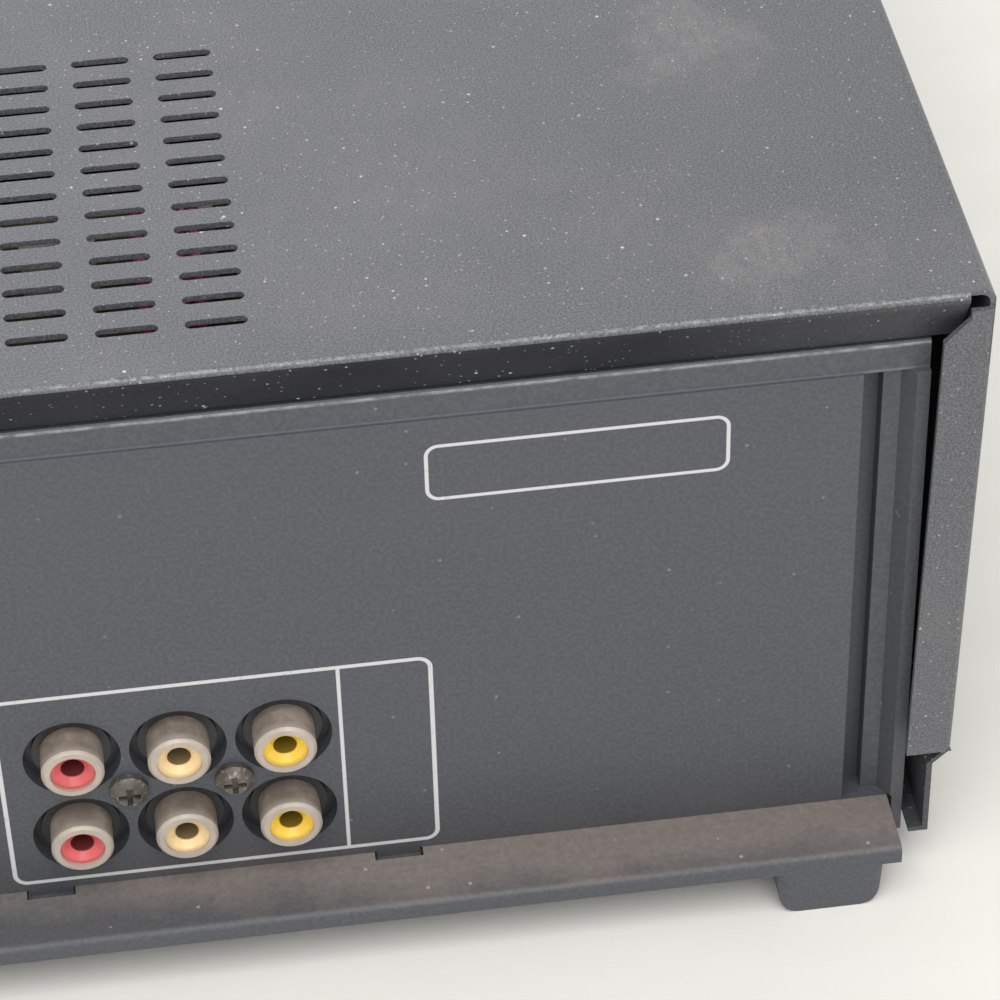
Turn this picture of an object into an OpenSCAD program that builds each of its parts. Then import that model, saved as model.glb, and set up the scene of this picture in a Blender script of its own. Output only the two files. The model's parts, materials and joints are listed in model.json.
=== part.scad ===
// Front-loading video cassette recorder: folded steel cover, moulded chassis, rear
// connector panel, cassette lift and helical-scan tape transport.
// Front is -Y, rear is +Y, the feet stand on Z = 0 and X = 0 is the middle of the width.

/* [Cabinet] */
// Overall width across the steel cover
body_w = 432; // [428:1:442]
// Overall depth, bezel face to rear ledge
body_d = 350; // [348:1:360]
// Overall height, table to the cover's top
body_h = 99.4; // [98.6:0.2:103]
// Sheet thickness of the cover
sheet_t = 0.8; // [0.7:0.1:1.2]
// Outside radius of the cover's folded edges
bend_r = 2; // [1.6:0.1:2.6]
// Inward lean of the cover's side, top to joggle
side_lean = 1.5; // [0:0.05:1.8]
// Inward step of the side skirt
joggle = 2.4; // [1.4:0.2:2.4]
// Height of the joggle above the table
joggle_z = 18.8; // [18:0.1:23]
// Height of the skirt's lower edge above the table
skirt_z = 6; // [5:0.5:6.8]
// Width of the hem folded in along the skirt's lower edge
hem_w = 1.9; // [1:0.1:2.1]
// Width of the flange folded in at the rear of each side
side_flange_w = 6.2; // [5.4:0.2:6.4]
// Backward lean of the flange folded down at the rear of the top
lip_tilt = 30; // [24:1:33]

/* [Vent grille] */
// Number of slots from side to side
vent_cols = 16; // [6:1:24]
// Number of slot rows from front to rear
vent_rows = 13; // [5:1:14]
// Length of one slot
vent_l = 7.7; // [6:0.1:8.4]
// Width of one slot
vent_w = 1.6; // [1.2:0.1:2.2]
// Spacing of the slots from side to side
vent_pitch_x = 10.95; // [10:0.05:12]
// Spacing of the rows from front to rear
vent_pitch_y = 4.89; // [4.4:0.01:5]
// Distance of the last slot from the side of the cover
vent_side = 91.4; // [70:0.1:110]

/* [Chassis] */
// Height of the feet under the floor
foot_h = 7.1; // [6.8:0.1:9]
// Width of one foot
foot_w = 15.3; // [12:0.1:18]
// Depth of one foot from front to rear
foot_d = 15; // [12:0.5:18]
// Thickness of the chassis floor and rear ledge
floor_t = 3; // [2.6:0.1:3.4]
// Depth of the ledge behind the rear panel
ledge_d = 10.5; // [9:0.1:12]
// Thickness of the chassis side walls
wall_t = 2.5; // [2:0.1:3]
// Height of the chassis side walls above the floor
wall_h = 46; // [34:1:60]
// Height of the bosses under the circuit boards
boss_h = 8; // [7:0.5:9]

/* [Rear panel] */
// Distance from the cover's side to the panel's recessed field
panel_margin = 15.42; // [15:0.01:16]
// Wall thickness of the rear panel
panel_t = 2.2; // [1.8:0.1:2.5]
// Height of the frame band across the panel's top
band_h = 4.35; // [3.5:0.05:6]
// Depth of the deep step of the side channel
channel_d = 4.5; // [3.6:0.1:5]
// Spacing of the phono jacks, both ways
jack_pitch = 14; // [13.6:0.1:15]
// Outside diameter of a phono jack's metal shell
jack_shell_d = 8.3; // [8:0.1:8.6]
// Diameter of the coloured insert in a phono jack
jack_insert_d = 6; // [5.4:0.1:6.4]
// Diameter of the panel hole round a phono jack
jack_hole_d = 12.9; // [12:0.1:13.2]
// How far the phono jacks stand out of the panel
jack_out = 3.2; // [2.6:0.1:6]
// Height of the lower jack row above the table
jack_z = 20.1; // [19:0.1:24]
// Distance of the outer jack column from the cover's side
jack_side = 91.35; // [84:0.05:100]
// Thread diameter of the aerial connectors
aerial_d = 9.5; // [9:0.1:10]
// How far the aerial connectors stand out of the panel
aerial_out = 10; // [8:0.1:10.4]
// Bore of the mains cord gland
gland_bore = 6.5; // [5:0.1:7.5]

/* [Front] */
// How far the button caps stand out of the bezel's face
button_out = 1.2; // [0.4:0.1:1.6]
// Depth of the moulded bezel
bezel_d = 24.7; // [24:0.1:27]
// Wall thickness of the bezel
bezel_t = 3; // [2.6:0.1:3.2]
// Width of the cassette door
door_w = 191.6; // [190:0.2:193]
// Height of the cassette door
door_h = 30; // [29:0.2:31]
// Thickness of the door and flap panels
door_t = 2.2; // [1.8:0.1:2.6]
// Radius of the hinge barrels of door and flap
barrel_r = 1.8; // [1.7:0.05:2.2]
// Travel of the push buttons
button_travel = 1.5; // [1:0.1:2]
// Width of one transport button
button_w = 20; // [16:0.5:22]
// Height of one transport button
button_h = 9; // [7:0.5:10]
// Diameter of the tracking knob
knob_d = 14; // [10:0.5:16]

/* [Tape transport] */
// Distance of the transport's centre line left of the middle
deck_offset = 80; // [78:0.5:82]
// Height of the deck plate above the table
deck_z = 24; // [23.4:0.1:24.4]
// Thickness of the deck plate
deck_t = 1.6; // [1.2:0.1:2]
// Diameter of the head drum
drum_d = 62; // [61:0.1:62.6]
// Tilt of the head drum
drum_tilt = 5.5; // [4:0.5:6]
// Spacing of the two tape reels
reel_pitch = 92.2; // [91:0.1:93]
// Outside diameter of the geared reel tables
reel_d = 44; // [40:0.5:45]
// Diameter of the capstan shaft
capstan_d = 4; // [3:0.1:5]
// Diameter of the pinch roller
pinch_d = 14; // [12:0.2:15]
// Diameter of the capstan flywheel
flywheel_d = 46; // [38:1:50]
// Travel of the cassette holder into the machine
holder_in = 66; // [60:1:66]
// Travel of the cassette holder down to the reels
holder_down = 22; // [18:0.5:22]
// Travel of the tape guides from the cassette to the drum
guide_travel = 58; // [50:1:60]

/* [Hidden] */
// Smoothness of round parts
$fn = 48;
// General clearance between pieces that stay apart
gap = 0.3;
// Radial running clearance of a shaft in its bore
run = 0.05;
// Overshoot of a cutter past the face it cuts
cut = 1;

front_y = -body_d / 2;
rear_y = body_d / 2;
half_w = body_w / 2;
panel_y = rear_y - ledge_d;
lip_y = panel_y + 4;
face_y = front_y + button_out;
bezel_rear_y = face_y + bezel_d;
cover_y = bezel_rear_y + gap;
floor_z = foot_h + floor_t;
board_z = floor_z + boss_h;
board_t = 1.6;
chassis_w = half_w - 9.1;
panel_half = half_w - panel_margin;
rib_edge = panel_half + 8.5;
band_top = body_h - 9.85;
band_z = band_top - band_h;
band_in = 0.35;
rib_out = 0.4;
band_edge = 0.35;
fold_r = sheet_t + 0.1;
paint_dark = [0.17, 0.18, 0.2];
moulding = [0.13, 0.14, 0.16];
zinc = [0.72, 0.73, 0.75];
steel = [0.62, 0.63, 0.66];
brass_tone = [0.62, 0.55, 0.48];
board_green = [0.16, 0.3, 0.2];
cream = [0.93, 0.86, 0.66];

// Extrudes a profile drawn in X and Z from one Y to another
module along_y(from, to) {
    translate([0, to, 0]) rotate([90, 0, 0]) linear_extrude(to - from) children();
}

// Extrudes a profile drawn in Y and Z from one X to another
module along_x(from, to) {
    translate([from, 0, 0]) rotate([90, 0, 90]) linear_extrude(to - from) children();
}

// A box given by its lowest and highest corners
module block(low, high) {
    translate(low) cube(high - low);
}

module both_sides() {
    children();
    mirror([1, 0, 0]) children();
}

// A rod of radius r along Y
module rod_y(x, z, r, from, to) {
    translate([x, to, z]) rotate([90, 0, 0]) cylinder(h = to - from, r = r);
}

// A rod of radius r along X
module rod_x(y, z, r, from, to) {
    translate([from, y, z]) rotate([0, 90, 0]) cylinder(h = to - from, r = r);
}

// A rod of radius r along Z
module rod_z(x, y, r, from, to) {
    translate([x, y, from]) cylinder(h = to - from, r = r);
}

module rounded_rect(w, h, r) {
    translate([-w / 2 + r, -h / 2]) square([w - 2 * r, h]);
    translate([-w / 2, -h / 2 + r]) square([w, h - 2 * r]);
    for (x = [-1, 1], y = [-1, 1])
        translate([x * (w / 2 - r), y * (h / 2 - r)]) circle(r);
}

// Round-ended slot lying along X
module slot_shape(l, w) {
    square([l - w, w], center = true);
    for (x = [-1, 1]) translate([x * (l - w) / 2, 0]) circle(w / 2, $fn = 24);
}

// Flat gear outline with straight-sided teeth between root and tip radius
module gear_shape(tip_r, teeth, tooth_h = 1.2) {
    root_r = tip_r - tooth_h;
    polygon([for (i = [0:teeth - 1], k = [0:3])
        let (a = 360 / teeth * (i + [0, 0.25, 0.4, 0.85][k]), r = k == 1 || k == 2 ? tip_r : root_r)
        r * [cos(a), sin(a)]]);
}

// Cross-head pan screw whose head seats at z = 0 and whose shank points down
module pan_screw(head_r, head_h, shank_r, shank_l) {
    difference() {
        union() {
            cylinder(h = head_h * 0.45, r = head_r);
            translate([0, 0, head_h * 0.45])
                cylinder(h = head_h * 0.55, r1 = head_r, r2 = head_r * 0.62);
        }
        for (a = [0, 90]) rotate(a) translate([0, 0, head_h])
            cube([head_r * 1.15, head_r * 0.3, head_h * 1.1], center = true);
    }
    translate([0, 0, -shank_l]) cylinder(h = shank_l, r = shank_r);
}

// Steel cover

// Outside face of the leaning side wall at height z
function side_x(z) = half_w - side_lean * (body_h - z) / (body_h - joggle_z);

// Points of an arc about a centre, from one angle to another
function arc(centre, r, from, to, steps = 8) =
    [for (i = [0:steps]) let (a = from + (to - from) * i / steps) centre + r * [cos(a), sin(a)]];
function reversed(path) = [for (i = [len(path) - 1:-1:0]) path[i]];
function mirrored(path) = [for (p = reversed(path)) [-p[0], p[1]]];

// One side of the cover in X and Z, from the skirt's lower edge up to the top
function cover_half(inset) =
    let (r = bend_r - inset, upper_z = joggle_z + joggle, skirt_x = side_x(joggle_z) - joggle - inset)
    concat([[skirt_x, skirt_z], [skirt_x, joggle_z], [side_x(upper_z) - inset, upper_z]],
        arc([half_w - bend_r, body_h - bend_r], r, 0, 90));
function cover_path(inset) = concat(cover_half(inset), mirrored(cover_half(inset)));

module cover_sheet() {
    polygon(concat(cover_path(0), reversed(cover_path(sheet_t))));
}

// Round fold and leaning flange along the rear of the top, drawn in Y and Z
module lip_section() {
    centre = [lip_y - fold_r, body_h - fold_r];
    out = [cos(lip_tilt), -sin(lip_tilt)];
    down = [-sin(lip_tilt), -cos(lip_tilt)];
    reach = (centre[1] + fold_r * out[1] - band_top) / cos(lip_tilt);
    polygon(concat(arc(centre, fold_r, 90, -lip_tilt), [centre + fold_r * out + reach * down],
        [centre + (fold_r - sheet_t) * out + reach * down], arc(centre, fold_r - sheet_t, -lip_tilt, 90)));
}

mitre_inset = [0.5, 3.2];
mitre_drop = [7.2, 3.8];
notch_drop = 2.6;
mitre_low = [rib_edge + mitre_inset[0], body_h - mitre_drop[0]];
mitre_high = [half_w - mitre_inset[1], body_h - mitre_drop[1]];
notch_z = body_h - notch_drop;

module rear_lip() {
    intersection() {
        along_x(-half_w, half_w) lip_section();
        along_y(0, rear_y) both_sides()
            polygon([[0, band_top + gap], [mitre_high[0] - gap, band_top + gap],
                [mitre_high[0] - gap, body_h + cut], [0, body_h + cut]]);
    }
}

module side_flange() {
    upper_z = joggle_z + joggle;
    along_y(lip_y - sheet_t, lip_y)
        polygon([[side_x(upper_z) - side_flange_w, upper_z], mitre_low, mitre_high, [mitre_high[0], notch_z],
            [side_x(notch_z), notch_z], [side_x(upper_z), upper_z]]);
}

// Hem that stiffens the skirt's lower edge
module skirt_hem() {
    outer = side_x(joggle_z) - joggle;
    block([outer - sheet_t - hem_w, cover_y, skirt_z],
        [outer - sheet_t / 2, lip_y - sheet_t / 2, skirt_z + sheet_t]);
}

// Rounds the upright rear edge of the cover's side
module edge_rounding() {
    r = sheet_t * 1.4;
    angle = atan(side_lean / (body_h - joggle_z));
    translate([side_x(joggle_z + joggle), lip_y, joggle_z + joggle]) rotate([0, angle, 0])
        linear_extrude(body_h)
            polygon(concat(arc([-r, -r], r, 0, 90, 5), [[-r, cut], [cut, cut], [cut, -r]]));
}

vent_rear_y = panel_y - 5.7;
module vent_slots() {
    for (i = [0:vent_cols - 1], j = [0:vent_rows - 1])
        translate([-half_w + vent_side + vent_l / 2 + i * vent_pitch_x, vent_rear_y - j * vent_pitch_y])
            slot_shape(vent_l, vent_w);
}

cover_screw_z = 34;
cover_screw_ys = [-95, 95];
module cover_screw_sites() {
    for (s = [-1, 1], y = cover_screw_ys)
        translate([s * (side_x(cover_screw_z) + 0.2), y, cover_screw_z]) rotate([0, s * 90, 0]) children();
}

module top_cover() {
    color(paint_dark) difference() {
        union() {
            along_y(cover_y, lip_y - fold_r) cover_sheet();
            intersection() {
                along_y(lip_y - fold_r - cut, lip_y - sheet_t / 2) cover_sheet();
                block([-half_w, 0, 0], [half_w, rear_y, notch_z]);
            }
            rear_lip();
            both_sides() side_flange();
            both_sides() skirt_hem();
        }
        both_sides() edge_rounding();
        translate([0, 0, body_h - sheet_t - cut]) linear_extrude(sheet_t + 2 * cut) vent_slots();
        cover_screw_sites() cylinder(h = 12, r = 2.1, center = true);
    }
}

module cover_screws() {
    color("dimgray") cover_screw_sites() pan_screw(4, 2.6, 1.5, 12);
}

// Moulded chassis

deck_x = -deck_offset;
deck_top = deck_z + deck_t;
holder_w = 192;
deck_half = holder_w / 2 + 7;
deck_front_y = -138;
deck_rear_y = 100;
deck_boss_sites = [for (x = [-1, 1], y = [0, 1])
    [deck_x + x * (deck_half - 6), y ? deck_rear_y - 6 : deck_front_y + 6]];
main_rear_low = [-chassis_w + 8, deck_rear_y + 4];
main_rear_high = [56, panel_y - 20];
main_side_low = [deck_x + deck_half + 6, bezel_rear_y + 16];
main_side_high = [chassis_w - 8, 22];
power_low = [66, panel_y - 136.5];
power_high = [chassis_w - 8, panel_y - 22];
board_boss_sites = [main_rear_low + [6, 6], [main_rear_low[0] + 6, main_rear_high[1] - 6],
    main_rear_high - [6, 6], main_side_low + [6, 6], [main_side_high[0] - 6, main_side_low[1] + 6],
    main_side_high - [6, 6]];
power_boss_sites = [power_low + [6, 6], [power_high[0] - 6, power_low[1] + 6],
    [power_low[0] + 6, power_high[1] - 6], power_high - [6, 6]];
hook_xs = [-61.6, -109];
hook_w = 6;

foot_taper = 0.6;
foot_corner = foot_w / 5;
ledge_edge = floor_t / 3;

// Tapered foot with round lower corners, carried up to the rounding of the ledge
module foot(from) {
    x = chassis_w - 2.1 - foot_w / 2;
    half = foot_w / 2;
    top = floor_z - ledge_edge;
    low = half - foot_taper - foot_corner;
    intersection() {
        along_y(from, from + foot_d) translate([x, 0])
            polygon(concat([[-half, top]], arc([-low, foot_corner], foot_corner, 180, 270),
                arc([low, foot_corner], foot_corner, 270, 360), [[half, top]]));
        translate([x, from + foot_d / 2, 0]) linear_extrude(top)
            rounded_rect(foot_w, foot_d, foot_corner * 0.7);
    }
}

module boss(site, top, r = 3.6) {
    difference() {
        rod_z(site[0], site[1], r, floor_z - 0.1, top);
        rod_z(site[0], site[1], 1.3, floor_z, top + cut);
    }
}

module screw_boss() {
    reach = side_x(cover_screw_z) - sheet_t - gap - chassis_w;
    for (y = cover_screw_ys) difference() {
        rod_x(y, cover_screw_z, 4.5, chassis_w - wall_t, chassis_w + reach - 0.2);
        rod_x(y, cover_screw_z, 1.5 + run, chassis_w - 12, half_w);
    }
}

module chassis_shell() {
    block([-chassis_w, cover_y, foot_h], [chassis_w, panel_y, floor_z]);
    along_x(-chassis_w, chassis_w) {
        polygon(concat([[panel_y - cut, foot_h], [rear_y - ledge_edge / 3, foot_h],
            [rear_y, foot_h + ledge_edge / 3]],
            arc([rear_y - ledge_edge, floor_z - ledge_edge], ledge_edge, 0, 90), [[panel_y - cut, floor_z]]));
    }
    both_sides() {
        block([chassis_w - wall_t, cover_y, foot_h], [chassis_w, panel_y - channel_d - 5, floor_z + wall_h]);
        foot(rear_y - foot_d);
        foot(cover_y + 12);
        screw_boss();
    }
    block([-chassis_w, cover_y, foot_h], [chassis_w, cover_y + wall_t, floor_z + 4]);
    for (y = [-40, 30]) block([main_side_low[0] - 3.4, y, floor_z - 0.1],
        [main_side_low[0] - 1.4, y + 46, floor_z + 6]);
}

module chassis() {
    color(moulding) difference() {
        union() {
            chassis_shell();
            for (s = deck_boss_sites) boss(s, deck_z, 5);
            for (s = board_boss_sites) boss(s, board_z);
            for (s = power_boss_sites) boss(s, board_z);
        }
        both_sides() for (x = hook_xs) block([panel_half + x - hook_w / 2 - gap, panel_y - 0.7 - panel_t, 0],
            [panel_half + x + hook_w / 2 + gap, panel_y + 1.55, floor_z + cut]);
        both_sides() for (y = cover_screw_ys) rod_x(y, cover_screw_z, 1.5 + run, chassis_w - 12, half_w);
        translate([(power_low[0] + power_high[0]) / 2, (power_low[1] + power_high[1]) / 2, 0])
            for (i = [-3:3], j = [-1:1]) translate([i * 14, j * 24, foot_h - cut])
                linear_extrude(floor_t + 2 * cut) rotate(90) slot_shape(18, 3);
    }
}

// Rear panel and what it carries

jack_x = -half_w + jack_side;
function jack_col(i) = jack_x + i * jack_pitch;
jack_rows = [jack_z, jack_z + jack_pitch];
jack_screw_xs = [jack_col(0.5), jack_col(1.5)];
jack_screw_z = jack_z + jack_pitch / 2 + 0.4;
aerial_xs = [112, 138];
aerial_z = 50;
switch_x = 164;
switch_travel = 4;
gland_x = 184;
gland_z = 30;
gland_r = 7;

// Plan of the panel: recessed field, stepped channel and side rib
module panel_plan() {
    deep = channel_d;
    both_sides() polygon([for (p = [[-panel_half, 0], [0, 0], [0, -deep], [3, -deep], [3, -deep + 2.5],
        [5.3, -deep + 2.5], [6.8, rib_out], [8.5, rib_out], [8.5, -deep + 0.5], [7, -deep + 0.5],
        [7 - panel_t / 2, -deep - panel_t], [-panel_t, -deep - panel_t], [-panel_t, -panel_t],
        [-panel_half, -panel_t]]) p + [panel_half, panel_y]]);
}

rib_low = foot_h / 2;

module rear_panel() {
    deep = channel_d + panel_t;
    color(moulding) difference() {
        union() {
            translate([0, 0, floor_z]) linear_extrude(band_z - floor_z + cut) panel_plan();
            along_x(-rib_edge, rib_edge)
                polygon([[panel_y - deep, band_z], [panel_y - band_in, band_z],
                    [panel_y - band_in, band_top - band_edge], [panel_y - band_in - band_edge, band_top],
                    [panel_y - deep, band_top]]);
            both_sides() block([panel_half + 7, panel_y - channel_d + 0.5, rib_low],
                [rib_edge, panel_y + rib_out, floor_z + 0.1]);
            both_sides() for (x = hook_xs) {
                block([panel_half + x - hook_w / 2, panel_y - panel_t, foot_h + 0.6],
                    [panel_half + x + hook_w / 2, panel_y, floor_z + 0.1]);
                block([panel_half + x - hook_w / 2, panel_y - 0.1, foot_h + 0.6],
                    [panel_half + x + hook_w / 2, panel_y + 1.2, floor_z - 1]);
            }
        }
        along_x(-half_w, half_w) polygon([[panel_y - band_in, band_z], [rear_y, band_z], [rear_y, band_top],
            [panel_y - band_in, band_top]]);
        for (i = [0:2], z = jack_rows) rod_y(jack_col(i), z, jack_hole_d / 2, panel_y - deep - cut, rear_y);
        for (x = jack_screw_xs) rod_y(x, jack_screw_z, 1.5 + run, panel_y - deep - cut, rear_y);
        for (x = aerial_xs) rod_y(x, aerial_z, aerial_d / 2 + gap, panel_y - deep - cut, rear_y);
        along_y(panel_y - deep, rear_y) translate([switch_x, aerial_z]) square([9, 4], center = true);
        rod_y(gland_x, gland_z, gland_r - 1.5 + gap, panel_y - deep - cut, rear_y);
    }
}

jack_back_y = panel_y - panel_t - 12;
jack_face_y = panel_y - panel_t;
jack_ring = 0.6;
jack_step = 0.3;
module jack_block() {
    low = [jack_col(0) - jack_pitch / 2 - 1.4, jack_back_y, floor_z + 1];
    high = [jack_col(2) + jack_pitch / 2 + 1.4, jack_face_y, jack_rows[1] + jack_pitch / 2 + 1.4];
    color([0.09, 0.09, 0.1]) difference() {
        union() {
            block(low, high);
            for (i = [0:2], z = jack_rows) rod_y(jack_col(i), z, jack_hole_d / 2 - 1.2, jack_face_y - cut,
                jack_face_y + jack_ring);
        }
        for (i = [0:2], z = jack_rows)
            rod_y(jack_col(i), z, jack_shell_d / 2 - jack_step, jack_face_y - 6, rear_y);
        for (x = jack_screw_xs) rod_y(x, jack_screw_z, 1.5 + run, jack_face_y - 8, rear_y);
        for (i = [0:2], x = [-2.5, 2.5]) block([jack_col(i) + x - 0.5, jack_back_y - cut, floor_z],
            [jack_col(i) + x + 0.5, jack_back_y + 2, floor_z + 4]);
    }
}

shell_end_y = panel_y + jack_out;
module jack_shells() {
    color(brass_tone) for (i = [0:2], z = jack_rows) difference() {
        union() {
            rod_y(jack_col(i), z, jack_shell_d / 2 - jack_step, jack_face_y - 6,
                jack_face_y + jack_ring + 0.1);
            rod_y(jack_col(i), z, jack_shell_d / 2, jack_face_y + jack_ring, shell_end_y - 0.4);
            translate([jack_col(i), shell_end_y - 0.4, z]) rotate([-90, 0, 0])
                cylinder(h = 0.4, r1 = jack_shell_d / 2, r2 = jack_shell_d / 2 - 0.4);
        }
        rod_y(jack_col(i), z, jack_insert_d / 2, jack_face_y - 6 - cut, rear_y);
    }
}

// Dished coloured insulator with its centre hole
module jack_insert(x, z) {
    r = jack_insert_d / 2;
    translate([x, shell_end_y - 0.5, z]) rotate([-90, 0, 0]) difference() {
        translate([0, 0, -8]) cylinder(h = 8, r = r);
        translate([0, 0, -6.5]) cylinder(h = 8, r = 1.55);
        translate([0, 0, -0.9]) cylinder(h = 1, r1 = 1.55, r2 = r - 0.4);
    }
}

module jack_inserts(column, tone) {
    color(tone) for (z = jack_rows) jack_insert(jack_col(column), z);
}

module jack_inserts_yellow() {
    jack_inserts(0, [0.98, 0.76, 0.12]);
}

module jack_inserts_cream() {
    jack_inserts(1, cream);
}

module jack_inserts_red() {
    jack_inserts(2, [0.8, 0.14, 0.16]);
}

module jack_screws() {
    color("gray") for (x = jack_screw_xs) translate([x, panel_y + 0.05, jack_screw_z])
        rotate([-90, 0, 0]) pan_screw(2.6, 1.8, 1.5, 8);
}

module rf_unit() {
    rear = panel_y - panel_t - gap;
    low = [aerial_xs[0] - 14, rear - 26, board_z + board_t + gap];
    high = [aerial_xs[1] + 36, rear, aerial_z + 14];
    color(zinc) difference() {
        union() {
            difference() {
                block(low, high);
                for (x = [low[0] + 18:18:high[0] - 10])
                    block([x, low[1] - cut, high[2] - 0.5], [x + 8, high[1] - 6, high[2] + cut]);
            }
            for (x = aerial_xs) {
                rod_y(x, aerial_z, aerial_d / 2 - 0.4, rear - cut, panel_y + 1);
                rod_y(x, aerial_z, aerial_d / 2, panel_y + 0.5, panel_y + aerial_out);
            }
        }
        for (x = aerial_xs) rod_y(x, aerial_z, aerial_d / 2 - 1.2, panel_y + aerial_out - 6, rear_y + cut);
        along_y(rear - 3, rear_y) translate([switch_x, aerial_z]) square([10, 5], center = true);
    }
    color(cream) for (x = aerial_xs) difference() {
        rod_y(x, aerial_z, aerial_d / 2 - 1.2, panel_y + aerial_out - 6, panel_y + aerial_out - 2);
        rod_y(x, aerial_z, 0.9, panel_y + aerial_out - 5, rear_y);
    }
}

module channel_switch() {
    rear = panel_y - panel_t - gap;
    color("black") {
        along_y(rear - 2.7, rear - 0.8) translate([switch_x - switch_travel / 2, aerial_z])
            square([5, 4.4], center = true);
        along_y(rear - 1, panel_y + 0.8) translate([switch_x - switch_travel / 2, aerial_z])
            square([3.4, 3], center = true);
    }
}

module cord_gland() {
    color("black") difference() {
        union() {
            rod_y(gland_x, gland_z, gland_r - 1.5, panel_y - panel_t - 3, panel_y + 0.1);
            rod_y(gland_x, gland_z, gland_r, panel_y, panel_y + 2.2);
            translate([gland_x, panel_y + 2.2, gland_z]) rotate([-90, 0, 0])
                cylinder(h = 3, r1 = gland_r - 0.8, r2 = gland_r - 2.6);
            rod_y(gland_x, gland_z, gland_r, panel_y - panel_t - 3, panel_y - panel_t - gap);
        }
        rod_y(gland_x, gland_z, gland_bore / 2, 0, rear_y + cut);
    }
}

// Front bezel, door, flap and controls

bezel_low = skirt_z;
bezel_high = body_h - 0.4;
door_z = 57.6;
flap_z = 14.6;
opening_gap = 0.4;
panel_face_y = face_y + 0.8;
hinge_y = panel_face_y + barrel_r;
door_hinge_z = door_z + door_h - barrel_r;
flap_hinge_z = flap_z + barrel_r;
hinge_pin_r = 1;
hinge_pin_l = 2;
window_low = [42, 60];
window_high = [200, 88];
recess_y = face_y + 13;
recess_t = 2;
button_row_z = 44;
lower_row_z = 26;
knob_x = deck_x - 60;
knob_z = flap_z + door_h / 2;
switch_y = face_y + 24;
front_board_y = switch_y + 3.5;

// Name, centre X, centre Z, width and height of each push button
buttons = [
    ["power", -half_w + 22, 74, 16, 12],
    ["eject", 29, 74, 14, 20],
    ["rewind", 52, button_row_z, button_w, button_h],
    ["play", 78, button_row_z, button_w + 6, button_h],
    ["forward", 104, button_row_z, button_w, button_h],
    ["stop", 130, button_row_z, button_w, button_h],
    ["pause", 156, button_row_z, button_w, button_h],
    ["record", 182, button_row_z, button_w, button_h],
    ["channel_down", 156, lower_row_z, button_w, button_h],
    ["channel_up", 182, lower_row_z, button_w, button_h]
];

module bezel_body() {
    h = bezel_high - bezel_low;
    intersection() {
        along_y(face_y, bezel_rear_y) translate([0, bezel_low + h / 2])
            rounded_rect(body_w, h, bend_r * 1.5);
        along_x(-half_w, half_w) translate([face_y + bezel_d, bezel_low + h / 2])
            rounded_rect(2 * bezel_d, h, 3);
        linear_extrude(body_h) translate([0, bezel_rear_y]) rounded_rect(body_w, 2 * bezel_d, 4);
    }
}

module bezel_cavity() {
    block([-half_w + bezel_t, face_y + bezel_t, bezel_low + bezel_t],
        [half_w - bezel_t, bezel_rear_y + cut, bezel_high - bezel_t]);
}

module hinge_lug(z, side) {
    inner = deck_x + side * (door_w / 2 + opening_gap);
    translate([inner + side * 1.5, 0, 0]) difference() {
        block([-1.5, face_y + bezel_t - 1, z - 4], [1.5, hinge_y + 4, z + 4]);
        rod_x(hinge_y, z, hinge_pin_r + run, -3, 3);
    }
}

module front_bezel() {
    w = door_w + 2 * opening_gap;
    h = door_h + 2 * opening_gap;
    color(moulding) difference() {
        union() {
            difference() {
                bezel_body();
                bezel_cavity();
            }
            block([deck_x - w / 2 - 2, face_y + 1, flap_z - opening_gap - 2],
                [deck_x + w / 2 + 2, recess_y + recess_t, flap_z + h + 1.6]);
            for (s = [-1, 1]) hinge_lug(door_hinge_z, s);
            block([window_low[0] - 3, face_y + bezel_t - 0.5, window_low[1] - 3],
                [window_high[0] + 3, face_y + 6, window_high[1] + 3]);
        }
        along_y(face_y - cut, bezel_rear_y) {
            translate([deck_x - w / 2, door_z - opening_gap]) square([w, h]);
            translate([window_low[0] + 1.5, window_low[1] + 1.5])
                square(window_high - window_low - [3, 3]);
            for (b = buttons) translate([b[1], b[2]])
                rounded_rect(b[3] + 2 * opening_gap, b[4] + 2 * opening_gap, 1.4);
        }
        along_y(face_y - cut, face_y + 2.5) translate(window_low) square(window_high - window_low);
        block([deck_x - w / 2, face_y - cut, flap_z - opening_gap],
            [deck_x + w / 2, recess_y, flap_z - opening_gap + h]);
        for (s = [-1, 1]) rod_x(hinge_y, flap_hinge_z, hinge_pin_r + run, deck_x - w / 2 - hinge_pin_l - 0.2,
            deck_x + w / 2 + hinge_pin_l + 0.2);
        for (s = [-1, 1]) rod_x(hinge_y, door_hinge_z, hinge_pin_r + run, deck_x - w / 2 - 3,
            deck_x + w / 2 + 3);
        rod_y(knob_x, knob_z, 3 + run, face_y, bezel_rear_y);
    }
}

module display_window() {
    color([0.05, 0.05, 0.06]) along_y(face_y + 0.2, face_y + 2.5)
        translate([(window_low[0] + window_high[0]) / 2, (window_low[1] + window_high[1]) / 2])
            square(window_high - window_low - [0.4, 0.4], center = true);
}

module display_tube() {
    low = [window_low[0] + 20, window_low[1] + 3];
    high = [window_high[0] - 20, window_high[1] - 3];
    color([0.2, 0.26, 0.28]) {
        block([low[0], front_board_y - 6.5, low[1]], [high[0], front_board_y - 2, high[1]]);
        block([low[0] + 1, front_board_y - 9, low[1] + 1.5],
            [high[0] - 1, front_board_y - 6.5, high[1] - 1.5]);
        for (i = [0:29]) block([low[0] + 3 + i * 3.9, front_board_y - 2.1, low[1] + 1.2],
            [low[0] + 3.5 + i * 3.9, front_board_y, low[1] + 1.7]);
    }
}

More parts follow.
